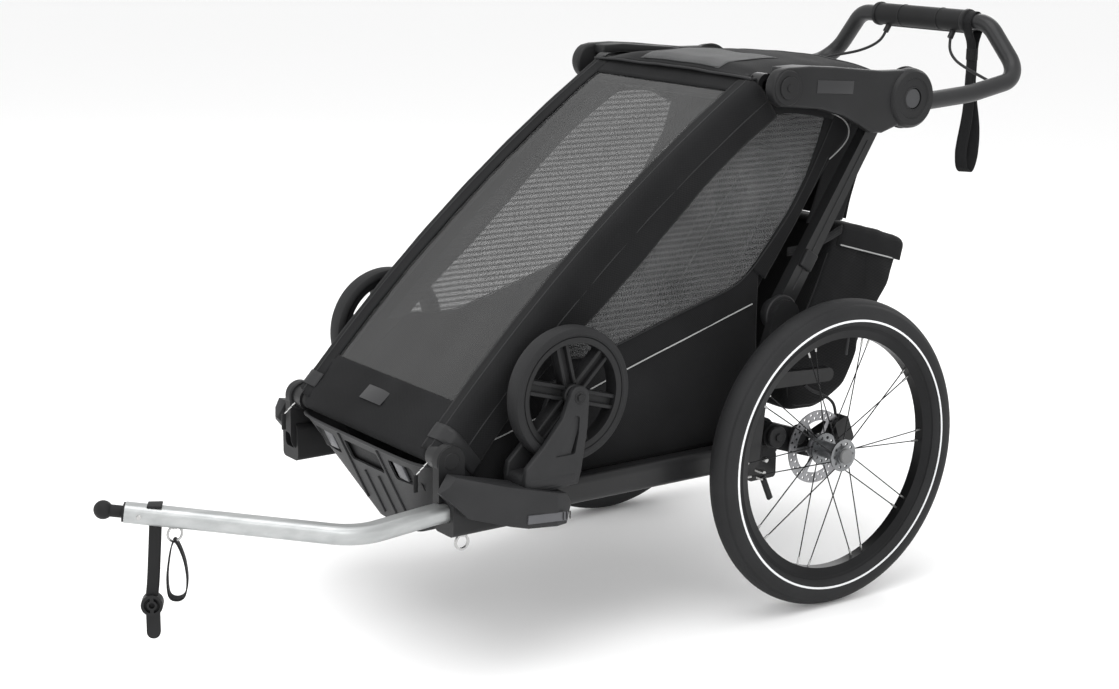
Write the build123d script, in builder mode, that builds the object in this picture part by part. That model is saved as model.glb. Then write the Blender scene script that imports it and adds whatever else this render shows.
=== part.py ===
from build123d import *
import os
from math import atan2, cos, hypot, radians, sin

os.makedirs("parts", exist_ok=True)

# Child bicycle trailer. Millimetres, +Z up, nose towards -Y, the trailer's left towards +X.
# The origin is on the ground, under the middle of the whole trailer.
axle_y = 340.3
tyre_diameter = 500
tyre_width = 47
tyre_wall = 4
wheel_track = 600

# Pivots of the folding frame, as distances from the rear axle and heights from the ground
nose_reach = 676
front_pivot_z = 328
top_pivot_reach = 91
top_pivot_z = 830
rear_pivot_reach = 70
rear_pivot_z = 471
strut_top_reach = 120
strut_top_z = 762
hub_reach = 172
hub_z = 800

axle_z = tyre_diameter / 2
wheel_x = wheel_track / 2
front_pivot = (axle_y - nose_reach, front_pivot_z)
top_pivot = (axle_y - top_pivot_reach, top_pivot_z)
rear_pivot = (axle_y - rear_pivot_reach, rear_pivot_z)
strut_top = (axle_y + strut_top_reach, strut_top_z)
hub_pivot = (axle_y + hub_reach, hub_z)
axle = (axle_y, axle_z)

# Layers across the frame, measured from the middle plane
tray_half = 180
panel_x = 183
pillar_x = 200
pillar_radius = 12
rail_x = 206
rail_width = 34
strut_x = 218
strut_width = 20
outer_x = 240
outer_width = 14
cheek_x = 245
cheek_width = 14
hub_width = 17
bar_x = 229
bar_radius = 14.5
bar_wall = 2

running_clearance = 0.05
free_clearance = 0.4


def write(builder, name):
    builder.part.label = name
    export_step(builder.part, f"parts/{name}.step")


def write_pair(left, name):
    with BuildPart() as right:
        mirror(left.part, about=Plane.YZ)
    write(left, name + "_left")
    write(right, name + "_right")


def disc(centre, radius, x):
    with BuildSketch(Plane.YZ.offset(x)) as outline:
        with Locations(centre):
            Circle(radius)
    return outline.sketch


def link(start, end, start_radius, end_radius, x):
    with BuildSketch(Plane.YZ.offset(x)) as outline:
        with Locations(start):
            Circle(start_radius)
        with Locations(end):
            Circle(end_radius)
        make_hull()
    return outline.sketch


def side_outline(points, x, corner=0.0):
    with BuildSketch(Plane.YZ.offset(x)) as outline:
        with BuildLine():
            Polyline(*points, close=True)
        make_face()
        if corner > 0:
            fillet(outline.vertices(), corner)
    return outline.sketch


def wheel_plane(x, centre):
    # Local x runs along the axle and local y straight up from it
    return Plane(origin=(x, centre[0], centre[1]), x_dir=(1, 0, 0), z_dir=(0, -1, 0))


def axle_line(centre):
    return Axis((0, centre[0], centre[1]), (1, 0, 0))


# ---- Rear wheels

tyre_radius = tyre_diameter / 2
tyre_half = tyre_width / 2
rim_bead_radius = tyre_radius - tyre_width
rim_flange = 7
rim_width = 26
rim_depth = 15
rim_wall = 2
hub_inner_x = 262
hub_outer_x = 326
hub_barrel_radius = 13
flange_radius = 26
flange_width = 3
flange_inner_x = 274
flange_outer_x = 318
axle_radius = 6
cap_radius = 12
cap_depth = 12
cap_travel = 4
rotor_radius = 60
rotor_x = 257
rotor_width = 2
spoke_count = 20
spoke_radius = 1.1

with BuildPart() as tyre:
    with BuildSketch(wheel_plane(wheel_x, axle)):
        with Locations((0, tyre_radius - tyre_half)):
            Circle(tyre_half)
            Circle(tyre_half - tyre_wall, mode=Mode.SUBTRACT)
        with Locations((0, rim_bead_radius)):
            Rectangle(rim_width, 2 * (rim_flange + free_clearance), mode=Mode.SUBTRACT)
    revolve(axis=axle_line(axle))
write_pair(tyre, "tyre")

with BuildPart() as rim:
    with BuildSketch(wheel_plane(wheel_x, axle)):
        with BuildLine():
            Polyline(
                (-rim_width / 2, rim_bead_radius + rim_flange),
                (-rim_width / 2 + rim_wall, rim_bead_radius + rim_flange),
                (-rim_width / 2 + rim_wall, rim_bead_radius),
                (rim_width / 2 - rim_wall, rim_bead_radius),
                (rim_width / 2 - rim_wall, rim_bead_radius + rim_flange),
                (rim_width / 2, rim_bead_radius + rim_flange),
                (rim_width / 2, rim_bead_radius - rim_wall),
                (rim_width / 3, rim_bead_radius - rim_depth),
                (-rim_width / 3, rim_bead_radius - rim_depth),
                (-rim_width / 2, rim_bead_radius - rim_wall),
                close=True,
            )
        make_face()
    revolve(axis=axle_line(axle))
write_pair(rim, "rim")

spoke_foot = flange_radius + spoke_radius + free_clearance
with BuildPart() as spokes:
    for number in range(spoke_count):
        pair_angle = 360 / (spoke_count / 2) * (number // 2)
        from_outer = number % 2
        lean = 9 if from_outer else -9
        foot_x = flange_outer_x if from_outer else flange_inner_x + flange_width
        foot_angle = radians(pair_angle + 2 * lean)
        rim_angle = radians(pair_angle + lean / 3)
        reach = rim_bead_radius - rim_depth - free_clearance
        foot = Vector(foot_x, axle_y + spoke_foot * cos(foot_angle), axle_z + spoke_foot * sin(foot_angle))
        tip = Vector(
            wheel_x + (2 if from_outer else -2),
            axle_y + reach * cos(rim_angle),
            axle_z + reach * sin(rim_angle),
        )
        with BuildSketch(Plane(origin=foot, z_dir=tip - foot)):
            Circle(spoke_radius)
        extrude(amount=(tip - foot).length)
write_pair(spokes, "spokes")

flange_hole_radius = 2.6
flange_hole_pitch = 19
with BuildPart() as hub:
    extrude(disc(axle, hub_barrel_radius, hub_inner_x), amount=hub_outer_x - hub_inner_x)
    extrude(disc(axle, flange_radius, flange_inner_x), amount=flange_width)
    extrude(disc(axle, flange_radius, flange_outer_x), amount=flange_width)
    extrude(disc(axle, cap_radius + 3, flange_outer_x), amount=hub_outer_x - flange_outer_x)
    extrude(
        disc(axle, cap_radius + running_clearance, hub_outer_x - cap_depth),
        amount=cap_depth,
        mode=Mode.SUBTRACT,
    )
    with BuildSketch(Plane.YZ.offset(flange_inner_x - 1)) as hub_holes:
        with Locations(axle):
            with PolarLocations(flange_hole_pitch, spoke_count // 2):
                Circle(flange_hole_radius)
    extrude(amount=hub_outer_x - flange_inner_x, mode=Mode.SUBTRACT)
    extrude(disc(axle, axle_radius, strut_x), amount=hub_inner_x - strut_x)
write_pair(hub, "hub")

with BuildPart() as rotor:
    with BuildSketch(Plane.YZ.offset(rotor_x)):
        with Locations(axle):
            Circle(rotor_radius)
            Circle(rotor_radius - 17, mode=Mode.SUBTRACT)
            with PolarLocations(rotor_radius - 5, 24):
                Circle(2.2, mode=Mode.SUBTRACT)
            with PolarLocations(rotor_radius - 12, 24, start_angle=7.5):
                Circle(2.2, mode=Mode.SUBTRACT)
    extrude(amount=rotor_width)
    with BuildSketch(Plane.YZ.offset(rotor_x)):
        with Locations(axle):
            Circle(20)
            Circle(hub_barrel_radius - 2, mode=Mode.SUBTRACT)
            with PolarLocations((rotor_radius - 17 + 18) / 2, 6):
                Rectangle(rotor_radius - 17 - 16, 7)
    extrude(amount=rotor_width)
    with BuildSketch(Plane.YZ.offset(rotor_x + rotor_width)):
        with Locations(axle):
            Circle(hub_barrel_radius + 2)
            Circle(hub_barrel_radius - 5, mode=Mode.SUBTRACT)
    extrude(amount=hub_inner_x - rotor_x - rotor_width)
write_pair(rotor, "brake_rotor")

with BuildPart() as cap:
    extrude(disc(axle, cap_radius, hub_outer_x - cap_depth + cap_travel + 1), amount=cap_depth)
    fillet(cap.edges().filter_by(GeomType.CIRCLE).sort_by(Axis.X)[-1], 2)
write_pair(cap, "wheel_release")

# ---- Suspension arms with their brake calipers

arm_pivot = (axle_y - 81, axle_z + 27)
arm_eye_radius = 20
arm_x = 222
arm_width = 22
arm_pin_radius = 8
socket_radius = 14
caliper_angle = 22
caliper_reach = rotor_radius - 5
caliper = (
    axle_y + caliper_reach * cos(radians(caliper_angle)),
    axle_z + caliper_reach * sin(radians(caliper_angle)),
)
caliper_size = (30, 44)
caliper_inner_x = 248
caliper_outer_x = 268

with BuildPart() as suspension_arm:
    extrude(link(arm_pivot, axle, arm_eye_radius, arm_eye_radius, arm_x), amount=arm_width)
    extrude(link(axle, caliper, 12, 11, arm_x + 4), amount=caliper_inner_x - arm_x - 4)
    extrude(disc(axle, socket_radius, arm_x), amount=rotor_x - 3 - arm_x)
    extrude(disc(arm_pivot, arm_pin_radius + running_clearance, arm_x), amount=arm_width, mode=Mode.SUBTRACT)
    extrude(disc(axle, axle_radius + running_clearance, arm_x), amount=rotor_x - arm_x, mode=Mode.SUBTRACT)
    with BuildSketch(Plane.YZ.offset(caliper_inner_x)):
        with Locations(Location((caliper[0], caliper[1], 0), (0, 0, caliper_angle))):
            RectangleRounded(*caliper_size, 6)
    extrude(amount=caliper_outer_x - caliper_inner_x)
    extrude(
        disc(axle, rotor_radius + 3, rotor_x - 1.5),
        amount=rotor_width + 3,
        mode=Mode.SUBTRACT,
    )
    extrude(disc(axle, flange_radius + 4, rotor_x + 1), amount=rotor_radius, mode=Mode.SUBTRACT)
write_pair(suspension_arm, "suspension_arm")

# ---- Base frame

rail_top_z = 270
rail_height = 42
rail_bottom_z = rail_top_z - rail_height
rail_rear_y = axle_y - 108
receiver_length = 100
receiver_y = axle_y - nose_reach - 14
receiver_end_y = receiver_y + receiver_length
receiver_width = 50
receiver_bottom_z = 222
receiver_height = 60
front_eye_radius = 22

with BuildPart() as side_rails:
    with BuildSketch(Plane.XZ.offset(-rail_rear_y)):
        with Locations((rail_x + rail_width / 2, rail_top_z - rail_height / 2)):
            RectangleRounded(rail_width, rail_height, 11)
    extrude(amount=rail_rear_y - receiver_end_y)
    mirror(about=Plane.YZ)
write(side_rails, "side_rails")

arm_section = (32, 26)
arm_corner = 9
arm_in_z = receiver_bottom_z + 33
arm_in_x = rail_x + receiver_width / 2
arm_fit = 0.3
bracket_x = 214
bracket_width = 16
socket_mouth = 20
socket_wall = 8
lock_pin_radius = 4.5
lock_pin_y = receiver_y + 30

with BuildPart() as arm_receiver:
    with BuildSketch(Plane.XZ.offset(-receiver_end_y)):
        with Locations((arm_in_x, receiver_bottom_z + receiver_height / 2)):
            RectangleRounded(receiver_width, receiver_height, 8)
    extrude(amount=receiver_length)
    extrude(
        link(
            (front_pivot[0], receiver_bottom_z + receiver_height - front_eye_radius),
            front_pivot,
            front_eye_radius,
            front_eye_radius,
            bracket_x,
        ),
        amount=bracket_width,
    )
    with BuildSketch(Plane.XZ.offset(socket_mouth - receiver_y)):
        with Locations((arm_in_x, arm_in_z)):
            RectangleRounded(arm_section[0] + 2 * arm_fit, arm_section[1] + 2 * arm_fit, arm_corner + arm_fit)
    extrude(amount=-(socket_mouth + receiver_length - socket_wall), mode=Mode.SUBTRACT)
    with BuildSketch(Plane.XY.offset(receiver_bottom_z - 1)):
        with Locations((arm_in_x, lock_pin_y)):
            Circle(lock_pin_radius)
    extrude(amount=receiver_height - 5, mode=Mode.SUBTRACT)
write_pair(arm_receiver, "corner_receiver")

crossbar_radius = 11
with BuildPart() as front_crossbar:
    extrude(disc(front_pivot, crossbar_radius, -bracket_x), amount=2 * bracket_x)
write(front_crossbar, "front_crossbar")

bumper_top_z = 316
bumper_bottom_z = 165
bumper_wall = 4
bumper_top_half = 184
bumper_bottom_half = 62
bumper_top_y = (axle_y - 702, axle_y - 628)
bumper_bottom_y = (axle_y - 632, axle_y - 588)

with BuildPart() as front_bumper:
    with BuildSketch(Plane.XY.offset(bumper_bottom_z)):
        with Locations((0, sum(bumper_bottom_y) / 2)):
            Rectangle(2 * bumper_bottom_half, bumper_bottom_y[1] - bumper_bottom_y[0])
    with BuildSketch(Plane.XY.offset(bumper_top_z)):
        with Locations((0, sum(bumper_top_y) / 2)):
            Rectangle(2 * bumper_top_half, bumper_top_y[1] - bumper_top_y[0])
    loft()
    offset(amount=-bumper_wall, openings=front_bumper.faces().sort_by(Axis.Z)[-1])
write(front_bumper, "front_bumper")

dock_outer_x = 300
dock_side = (
    (axle_y - 708, 290),
    (axle_y - 674, 253),
    (axle_y - 589, 230),
    (axle_y - 518, 224),
    (axle_y - 507, 253),
    (axle_y - 518, 270),
    (axle_y - 691, 315),
)
dock_plan = (
    (rail_x + rail_width, axle_y - 712),
    (262, axle_y - 700),
    (dock_outer_x - 4, axle_y - 620),
    (dock_outer_x, axle_y - 540),
    (dock_outer_x - 12, axle_y - 507),
    (rail_x + rail_width, axle_y - 505),
)
caster_x = 258
kingpin_y = axle_y - 540
kingpin_radius = 8
kingpin_length = 40
dock_seat_z = 275.5

with BuildPart() as dock:
    extrude(side_outline(dock_side, rail_x + rail_width + free_clearance), amount=dock_outer_x)
    with BuildSketch(Plane.XY.offset(rail_bottom_z - 20)) as dock_top:
        with BuildLine():
            Polyline(*dock_plan, close=True)
        make_face()
        fillet(dock_top.vertices().group_by(Axis.X)[-1], 10)
    extrude(amount=120, mode=Mode.INTERSECT)
    with BuildSketch(Plane.XY.offset(dock_seat_z)):
        with Locations((caster_x, kingpin_y)):
            SlotOverall(96, 58, rotation=90)
    extrude(amount=60, mode=Mode.SUBTRACT)
    with BuildSketch(Plane.XY.offset(dock_seat_z)):
        with Locations((caster_x, kingpin_y)):
            Circle(kingpin_radius + running_clearance)
    extrude(amount=-kingpin_length - 2, mode=Mode.SUBTRACT)
    with BuildSketch(Plane.YZ):
        with Locations((receiver_end_y - receiver_length / 2, receiver_bottom_z + receiver_height / 2)):
            Rectangle(receiver_length + 2 * free_clearance, receiver_height + 2 * free_clearance)
    extrude(amount=rail_x + receiver_width + free_clearance, mode=Mode.SUBTRACT)
write_pair(dock, "dock")

beam_front_y = rail_rear_y
beam_depth = 62
beam_height = 36
beam_z = axle_z + 5
with BuildPart() as axle_beam:
    with BuildSketch(Plane.YZ):
        with Locations((beam_front_y + beam_depth / 2, beam_z)):
            RectangleRounded(beam_depth, beam_height, 8)
    extrude(amount=strut_x - 2, both=True)
    for side in (-1, 1):
        extrude(disc(arm_pivot, arm_eye_radius + 4, side * (strut_x - 10)), amount=side * 10)
        extrude(disc(arm_pivot, arm_pin_radius, side * strut_x), amount=side * (arm_x + arm_width + 2 - strut_x))
        extrude(disc(arm_pivot, arm_pin_radius + 4, side * (arm_x + arm_width + 1)), amount=side * 4)
        with BuildSketch(Plane.YZ.offset(side * (rail_x - 4))):
            with Locations((beam_front_y + beam_depth / 2, beam_z - beam_height / 2 - 18)):
                RectangleRounded(beam_depth - 4, 44, 7)
        extrude(amount=side * 14)
write(axle_beam, "axle_beam")

post_width = 30
rear_eye_radius = 26
rear_pin_radius = 9
post_foot = (axle_y - 132, rail_bottom_z + 18)
post_knee = (axle_y - 118, rear_pivot_z - 100)
guard_end = (axle_y + 24, rear_pivot_z - 106)
with BuildPart() as rear_brackets:
    for side in (-1, 1):
        plate = side * outer_x
        extrude(link(post_foot, post_knee, post_width / 2, post_width / 2, plate), amount=side * outer_width)
        extrude(link(post_knee, rear_pivot, post_width / 2, rear_eye_radius, plate), amount=side * outer_width)
        extrude(link(post_knee, guard_end, 13, 11, plate), amount=side * outer_width)
        extrude(disc(rear_pivot, rear_pin_radius, side * (strut_x - 4)), amount=side * (outer_x - strut_x + 4))
        extrude(disc(rear_pivot, rear_pin_radius + 4, side * (strut_x - 4)), amount=side * 3.5)
write(rear_brackets, "rear_brackets")

tray_front_y = axle_y - 604
tray_rear_y = beam_front_y
tray_bottom_z = rail_bottom_z + 12
tray_height = 60
tray_wall = 4
with BuildPart() as floor_tray:
    with BuildSketch(Plane.XY.offset(tray_bottom_z)):
        with Locations((0, (tray_front_y + tray_rear_y) / 2)):
            Rectangle(2 * rail_x, tray_rear_y - tray_front_y)
    extrude(amount=tray_wall)
    with BuildSketch(Plane.XY.offset(tray_bottom_z)):
        with Locations((0, (tray_front_y + tray_rear_y) / 2)):
            Rectangle(2 * tray_half, tray_rear_y - tray_front_y)
            Rectangle(2 * (tray_half - tray_wall), tray_rear_y - tray_front_y - 2 * tray_wall, mode=Mode.SUBTRACT)
    extrude(amount=tray_height)
write(floor_tray, "floor_tray")

# ---- Front frame: two bowed pillars, their crossbar, the cover and its window

pillar_bow = 27
front_pillar_eye = 19
top_pillar_eye = 18
top_pin_radius = 9
chord = hypot(top_pivot[0] - front_pivot[0], top_pivot[1] - front_pivot[1])
chord_angle = atan2(top_pivot[1] - front_pivot[1], top_pivot[0] - front_pivot[0])
bow_radius = chord**2 / (8 * pillar_bow) + pillar_bow / 2
bow_middle = (
    (front_pivot[0] + top_pivot[0]) / 2 - pillar_bow * sin(chord_angle),
    (front_pivot[1] + top_pivot[1]) / 2 + pillar_bow * cos(chord_angle),
)
bow_centre = (
    bow_middle[0] + bow_radius * sin(chord_angle),
    bow_middle[1] - bow_radius * cos(chord_angle),
)
bow_start = atan2(front_pivot[1] - bow_centre[1], front_pivot[0] - bow_centre[0])
bow_end = atan2(top_pivot[1] - bow_centre[1], top_pivot[0] - bow_centre[0])


def on_bow(along, above=0.0):
    # A point on the pillars' arc, this far along it from the front pivot and this far above it
    angle = bow_start - along / bow_radius
    reach = bow_radius + above
    return (bow_centre[0] + reach * cos(angle), bow_centre[1] + reach * sin(angle))


bow_length = bow_radius * (bow_start - bow_end)


def bow_band(first, last, below, above, x):
    with BuildSketch(Plane.YZ.offset(x)) as band:
        with BuildLine():
            middle = (first + last) / 2
            ThreePointArc(on_bow(first, above), on_bow(middle, above), on_bow(last, above))
            Line(on_bow(last, above), on_bow(last, below))
            ThreePointArc(on_bow(last, below), on_bow(middle, below), on_bow(first, below))
            Line(on_bow(first, below), on_bow(first, above))
        make_face()
    return band.sketch


with BuildPart() as pillar:
    with BuildLine(Plane.YZ.offset(pillar_x)) as pillar_line:
        ThreePointArc(front_pivot, bow_middle, top_pivot)
    with BuildSketch(pillar_line.line ^ 0):
        Circle(pillar_radius)
    sweep()
    extrude(disc(front_pivot, front_pillar_eye, pillar_x - pillar_radius), amount=2 * pillar_radius)
    extrude(disc(top_pivot, top_pillar_eye, pillar_x - pillar_radius), amount=2 * pillar_radius)
    for centre, radius in ((front_pivot, crossbar_radius), (top_pivot, top_pin_radius)):
        extrude(
            disc(centre, radius + running_clearance, pillar_x - 2 * pillar_radius),
            amount=4 * pillar_radius,
            mode=Mode.SUBTRACT,
        )
write_pair(pillar, "pillar")

top_bar_radius = 10
top_bar_back = 34
top_bar_half = pillar_x - pillar_radius
with BuildPart() as top_crossbar:
    extrude(disc(on_bow(bow_length - top_bar_back), top_bar_radius, -top_bar_half), amount=2 * top_bar_half)
write(top_crossbar, "top_crossbar")

cover_lift = pillar_radius + 0.3
cover_thickness = 3
cover_half = 206
cover_start = 30
cover_end = bow_length - 30
window_half = 165
window_start = 82
window_end = bow_length - 62
film_thickness = 1.5
with BuildPart() as front_cover:
    extrude(
        bow_band(cover_start, cover_end, cover_lift, cover_lift + cover_thickness, -cover_half),
        amount=2 * cover_half,
    )
    extrude(
        bow_band(window_start, window_end, cover_lift - 1, cover_lift + cover_thickness + 1, -window_half),
        amount=2 * window_half,
        mode=Mode.SUBTRACT,
    )
write(front_cover, "front_cover")

film_gap = 0.3
with BuildPart() as window_film:
    extrude(
        bow_band(
            window_start + film_gap,
            window_end - film_gap,
            cover_lift + 0.5,
            cover_lift + 0.5 + film_thickness,
            film_gap - window_half,
        ),
        amount=2 * (window_half - film_gap),
    )
write(window_film, "window_film")

# ---- Top frame: two housings and the canopy between them

top_cap_radius = 29
hub_radius = 44
top_boss_radius = 16
button_radius = 16
button_height = 10
button_travel = 4
button_web = 5
drum_pin_radius = 10
drum_radius = 26
drum_x = 214
drum_width = cheek_x - 1 - drum_x
web_start = (top_pivot[0] + 36, top_pivot[1] + 24)
web_end = (hub_pivot[0] - 74, hub_pivot[1] + 40)

with BuildPart() as top_housing:
    extrude(link(top_pivot, hub_pivot, top_cap_radius, hub_radius, cheek_x), amount=cheek_width)
    extrude(disc(hub_pivot, hub_radius, cheek_x), amount=hub_width)
    fillet(top_housing.edges().filter_by(GeomType.CIRCLE).group_by(Axis.X)[-1], 2.5)
    extrude(
        disc(top_pivot, top_boss_radius, pillar_x + pillar_radius + 1),
        amount=cheek_x - pillar_x - pillar_radius - 1,
    )
    extrude(disc(top_pivot, top_pin_radius, pillar_x - pillar_radius + 3), amount=pillar_radius * 2)
    extrude(disc(hub_pivot, drum_pin_radius, drum_x + 6), amount=cheek_x - drum_x - 6)
    extrude(
        disc(hub_pivot, button_radius + running_clearance, cheek_x + button_web),
        amount=hub_width,
        mode=Mode.SUBTRACT,
    )
    extrude(link(web_start, web_end, 6, 6, drum_x), amount=cheek_x - drum_x)
write_pair(top_housing, "top_housing")

with BuildPart() as release_button:
    extrude(
        disc(hub_pivot, button_radius, cheek_x + button_web + button_travel + 0.5),
        amount=button_height,
    )
    fillet(release_button.edges().group_by(Axis.X)[-1], 1.5)
write_pair(release_button, "release_button")

canopy_half = drum_x
canopy_thickness = 3
canopy_front = (top_pivot[0] - 14, top_pivot[1] + 24)
canopy_crown = (top_pivot[0] + 120, top_pivot[1] + 32)
canopy_rear = (hub_pivot[0] - 20, hub_pivot[1] + 48)
with BuildPart() as canopy:
    with BuildSketch(Plane.YZ.offset(-canopy_half)):
        with BuildLine():
            ThreePointArc(canopy_front, canopy_crown, canopy_rear)
            Line(canopy_rear, (canopy_rear[0], canopy_rear[1] + canopy_thickness))
            ThreePointArc(
                (canopy_rear[0], canopy_rear[1] + canopy_thickness),
                (canopy_crown[0], canopy_crown[1] + canopy_thickness),
                (canopy_front[0], canopy_front[1] + canopy_thickness),
            )
            Line((canopy_front[0], canopy_front[1] + canopy_thickness), canopy_front)
        make_face()
    extrude(amount=2 * canopy_half)
write(canopy, "canopy")

# ---- Rear struts

strut_eye_radius = 24
strut_end_radius = 12
with BuildPart() as rear_struts:
    for side in (-1, 1):
        extrude(link(rear_pivot, strut_top, 16, strut_end_radius, side * strut_x), amount=side * strut_width)
        extrude(disc(rear_pivot, strut_eye_radius, side * strut_x), amount=side * strut_width)
        extrude(
            disc(rear_pivot, rear_pin_radius + running_clearance, side * (strut_x - 1)),
            amount=side * (strut_width + 2),
            mode=Mode.SUBTRACT,
        )
write(rear_struts, "rear_struts")

# ---- Handlebar

bar_start = (hub_pivot[0] + drum_radius - 8, hub_pivot[1] - 14)
bar_rise = (axle_y + 340, 795)
bar_low = (axle_y + 459, 816)
bar_high = (axle_y + 455, 902)
bar_high_half = 154
bar_bend = 46
bar_rise_bend = 300


def bar_point(side, x, place):
    return (side * x, place[0], place[1])


with BuildPart() as handlebar:
    with BuildLine() as bar_line:
        FilletPolyline(
            bar_point(-1, bar_x, bar_start),
            bar_point(-1, bar_x, bar_rise),
            bar_point(-1, bar_x, bar_low),
            bar_point(-1, bar_high_half, bar_high),
            bar_point(1, bar_high_half, bar_high),
            bar_point(1, bar_x, bar_low),
            bar_point(1, bar_x, bar_rise),
            bar_point(1, bar_x, bar_start),
            radius=(bar_rise_bend, bar_bend, bar_bend, bar_bend, bar_bend, bar_rise_bend),
        )
    with BuildSketch(bar_line.line ^ 0):
        Circle(bar_radius)
        Circle(bar_radius - bar_wall, mode=Mode.SUBTRACT)
    sweep()
    for side in (-1, 1):
        extrude(disc(hub_pivot, drum_radius, side * drum_x), amount=side * drum_width)
        extrude(
            disc(hub_pivot, drum_pin_radius + running_clearance, side * (drum_x + 4)),
            amount=side * drum_width,
            mode=Mode.SUBTRACT,
        )
write(handlebar, "handlebar")

brake_half = 105
brake_radius = 19
with BuildPart() as brake_housing:
    with BuildSketch(Plane.YZ.offset(-brake_half)):
        with Locations(bar_high):
            Circle(brake_radius)
            Circle(bar_radius + free_clearance, mode=Mode.SUBTRACT)
    extrude(amount=2 * brake_half)
write(brake_housing, "brake_housing")

lever_half = 92
lever_wall = 4
lever_from = -70
lever_sweep = 90
with BuildPart() as brake_lever:
    with BuildSketch(Plane.YZ.offset(-lever_half)):
        with Locations(bar_high):
            Circle(brake_radius + free_clearance + lever_wall)
            Circle(brake_radius + free_clearance, mode=Mode.SUBTRACT)
        with BuildLine():
            lever_arc = CenterArc(bar_high, 2 * brake_radius, lever_from, lever_sweep)
            Line(lever_arc @ 0, bar_high)
            Line(lever_arc @ 1, bar_high)
        make_face(mode=Mode.INTERSECT)
    extrude(amount=2 * lever_half)
write(brake_lever, "brake_lever")

# ---- Brake cables, held at both ends


def tube_radii(points):
    # Each arc is as large as its two runs allow
    radii = []
    for before, here, after in zip(points, points[1:], points[2:]):
        run_in = Vector(*here) - Vector(*before)
        run_out = Vector(*after) - Vector(*here)
        half_turn = radians(run_in.get_angle(run_out) / 2)
        radii.append(0.45 * min(run_in.length, run_out.length) / (sin(half_turn) / cos(half_turn)))
    return radii


def tube(points, radius):
    radii = tube_radii(points)
    print("tube radii", [round(value) for value in radii])
    with BuildPart() as cord:
        with BuildLine() as route:
            FilletPolyline(*points, radius=radii)
        with BuildSketch(route.line ^ 0):
            Circle(radius)
        sweep()
    return cord.part


def across(points):
    return [(-x, y, z) for x, y, z in points]


cable_radius = 2.5
upper_cable = [
    (78, axle_y + 446, 882),
    (80, axle_y + 440, 863),
    (93, axle_y + 430, 848),
    (118, axle_y + 419, 836),
    (146, axle_y + 410, 829),
    (174, axle_y + 402, 823),
    (214, axle_y + 396, 813),
]
with BuildPart() as brake_cables:
    add(tube(upper_cable, cable_radius))
    add(tube(across(upper_cable), cable_radius))
write(brake_cables, "brake_cables")

lower_cable = [
    (247, axle_y - 20, 352.5),
    (247.5, axle_y - 8, 342),
    (249, axle_y + 12, 334),
    (251, axle_y + 33, 322),
    (251.8, axle_y + 43, 309),
    (252, axle_y + 45, 293),
]
with BuildPart() as lower_brake_cables:
    add(tube(lower_cable, cable_radius))
    add(tube(across(lower_cable), cable_radius))
write(lower_brake_cables, "lower_brake_cables")

wrist_x = 119
wrist_width = 22
wrist_outer = bar_radius + free_clearance + 2
wrist_bottom_z = 640
wrist_loop_half = 16
with BuildPart() as wrist_strap:
    with BuildSketch(Plane.YZ.offset(wrist_x - wrist_width / 2)):
        with Locations(bar_high):
            Circle(wrist_outer)
            Circle(bar_radius + free_clearance, mode=Mode.SUBTRACT)
        with BuildLine():
            Polyline(
                (bar_high[0] - 4, bar_high[1] - wrist_outer + 1),
                (bar_high[0] - 4, wrist_bottom_z + 130),
                (bar_high[0] - wrist_loop_half, wrist_bottom_z + 60),
                (bar_high[0] - wrist_loop_half + 4, wrist_bottom_z),
                (bar_high[0] + wrist_loop_half - 4, wrist_bottom_z),
                (bar_high[0] + wrist_loop_half, wrist_bottom_z + 60),
                (bar_high[0] + 4, wrist_bottom_z + 130),
                (bar_high[0] + 4, bar_high[1] - wrist_outer + 1),
                close=True,
            )
        make_face()
        with BuildLine():
            Polyline(
                (bar_high[0], wrist_bottom_z + 118),
                (bar_high[0] - wrist_loop_half + 4, wrist_bottom_z + 60),
                (bar_high[0] - wrist_loop_half + 7, wrist_bottom_z + 4),
                (bar_high[0] + wrist_loop_half - 7, wrist_bottom_z + 4),
                (bar_high[0] + wrist_loop_half - 4, wrist_bottom_z + 60),
                close=True,
            )
        make_face(mode=Mode.SUBTRACT)
    extrude(amount=wrist_width)
write(wrist_strap, "wrist_strap")

# ---- Stroller wheels standing in the docks

caster_wheel = (axle_y - 493, 408)
caster_radius = 101.5
caster_width = 32
caster_tyre = 14
caster_hub_radius = 15
caster_pin_radius = 5
fork_leg_width = 8
fork_gap = caster_width / 2 + 3
crown_bottom_z = dock_seat_z + 1
crown_height = 22
windows = 6

with BuildPart() as caster_roller:
    with BuildSketch(wheel_plane(caster_x, caster_wheel)):
        with Locations((0, caster_radius - caster_tyre / 2)):
            RectangleRounded(caster_width, caster_tyre, 6)
    revolve(axis=axle_line(caster_wheel))
    with BuildSketch(Plane.YZ.offset(caster_x - caster_width / 2 + 3)):
        with Locations(caster_wheel):
            Circle(caster_radius - caster_tyre + 2)
            Circle(caster_pin_radius + running_clearance, mode=Mode.SUBTRACT)
            with PolarLocations(52, windows):
                SlotOverall(58, 34, mode=Mode.SUBTRACT)
    extrude(amount=caster_width - 6)
    extrude(disc(caster_wheel, caster_hub_radius, caster_x - caster_width / 2), amount=caster_width)
    extrude(
        disc(caster_wheel, caster_pin_radius + running_clearance, caster_x - caster_width),
        amount=2 * caster_width,
        mode=Mode.SUBTRACT,
    )
write_pair(caster_roller, "stroller_wheel")

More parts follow.
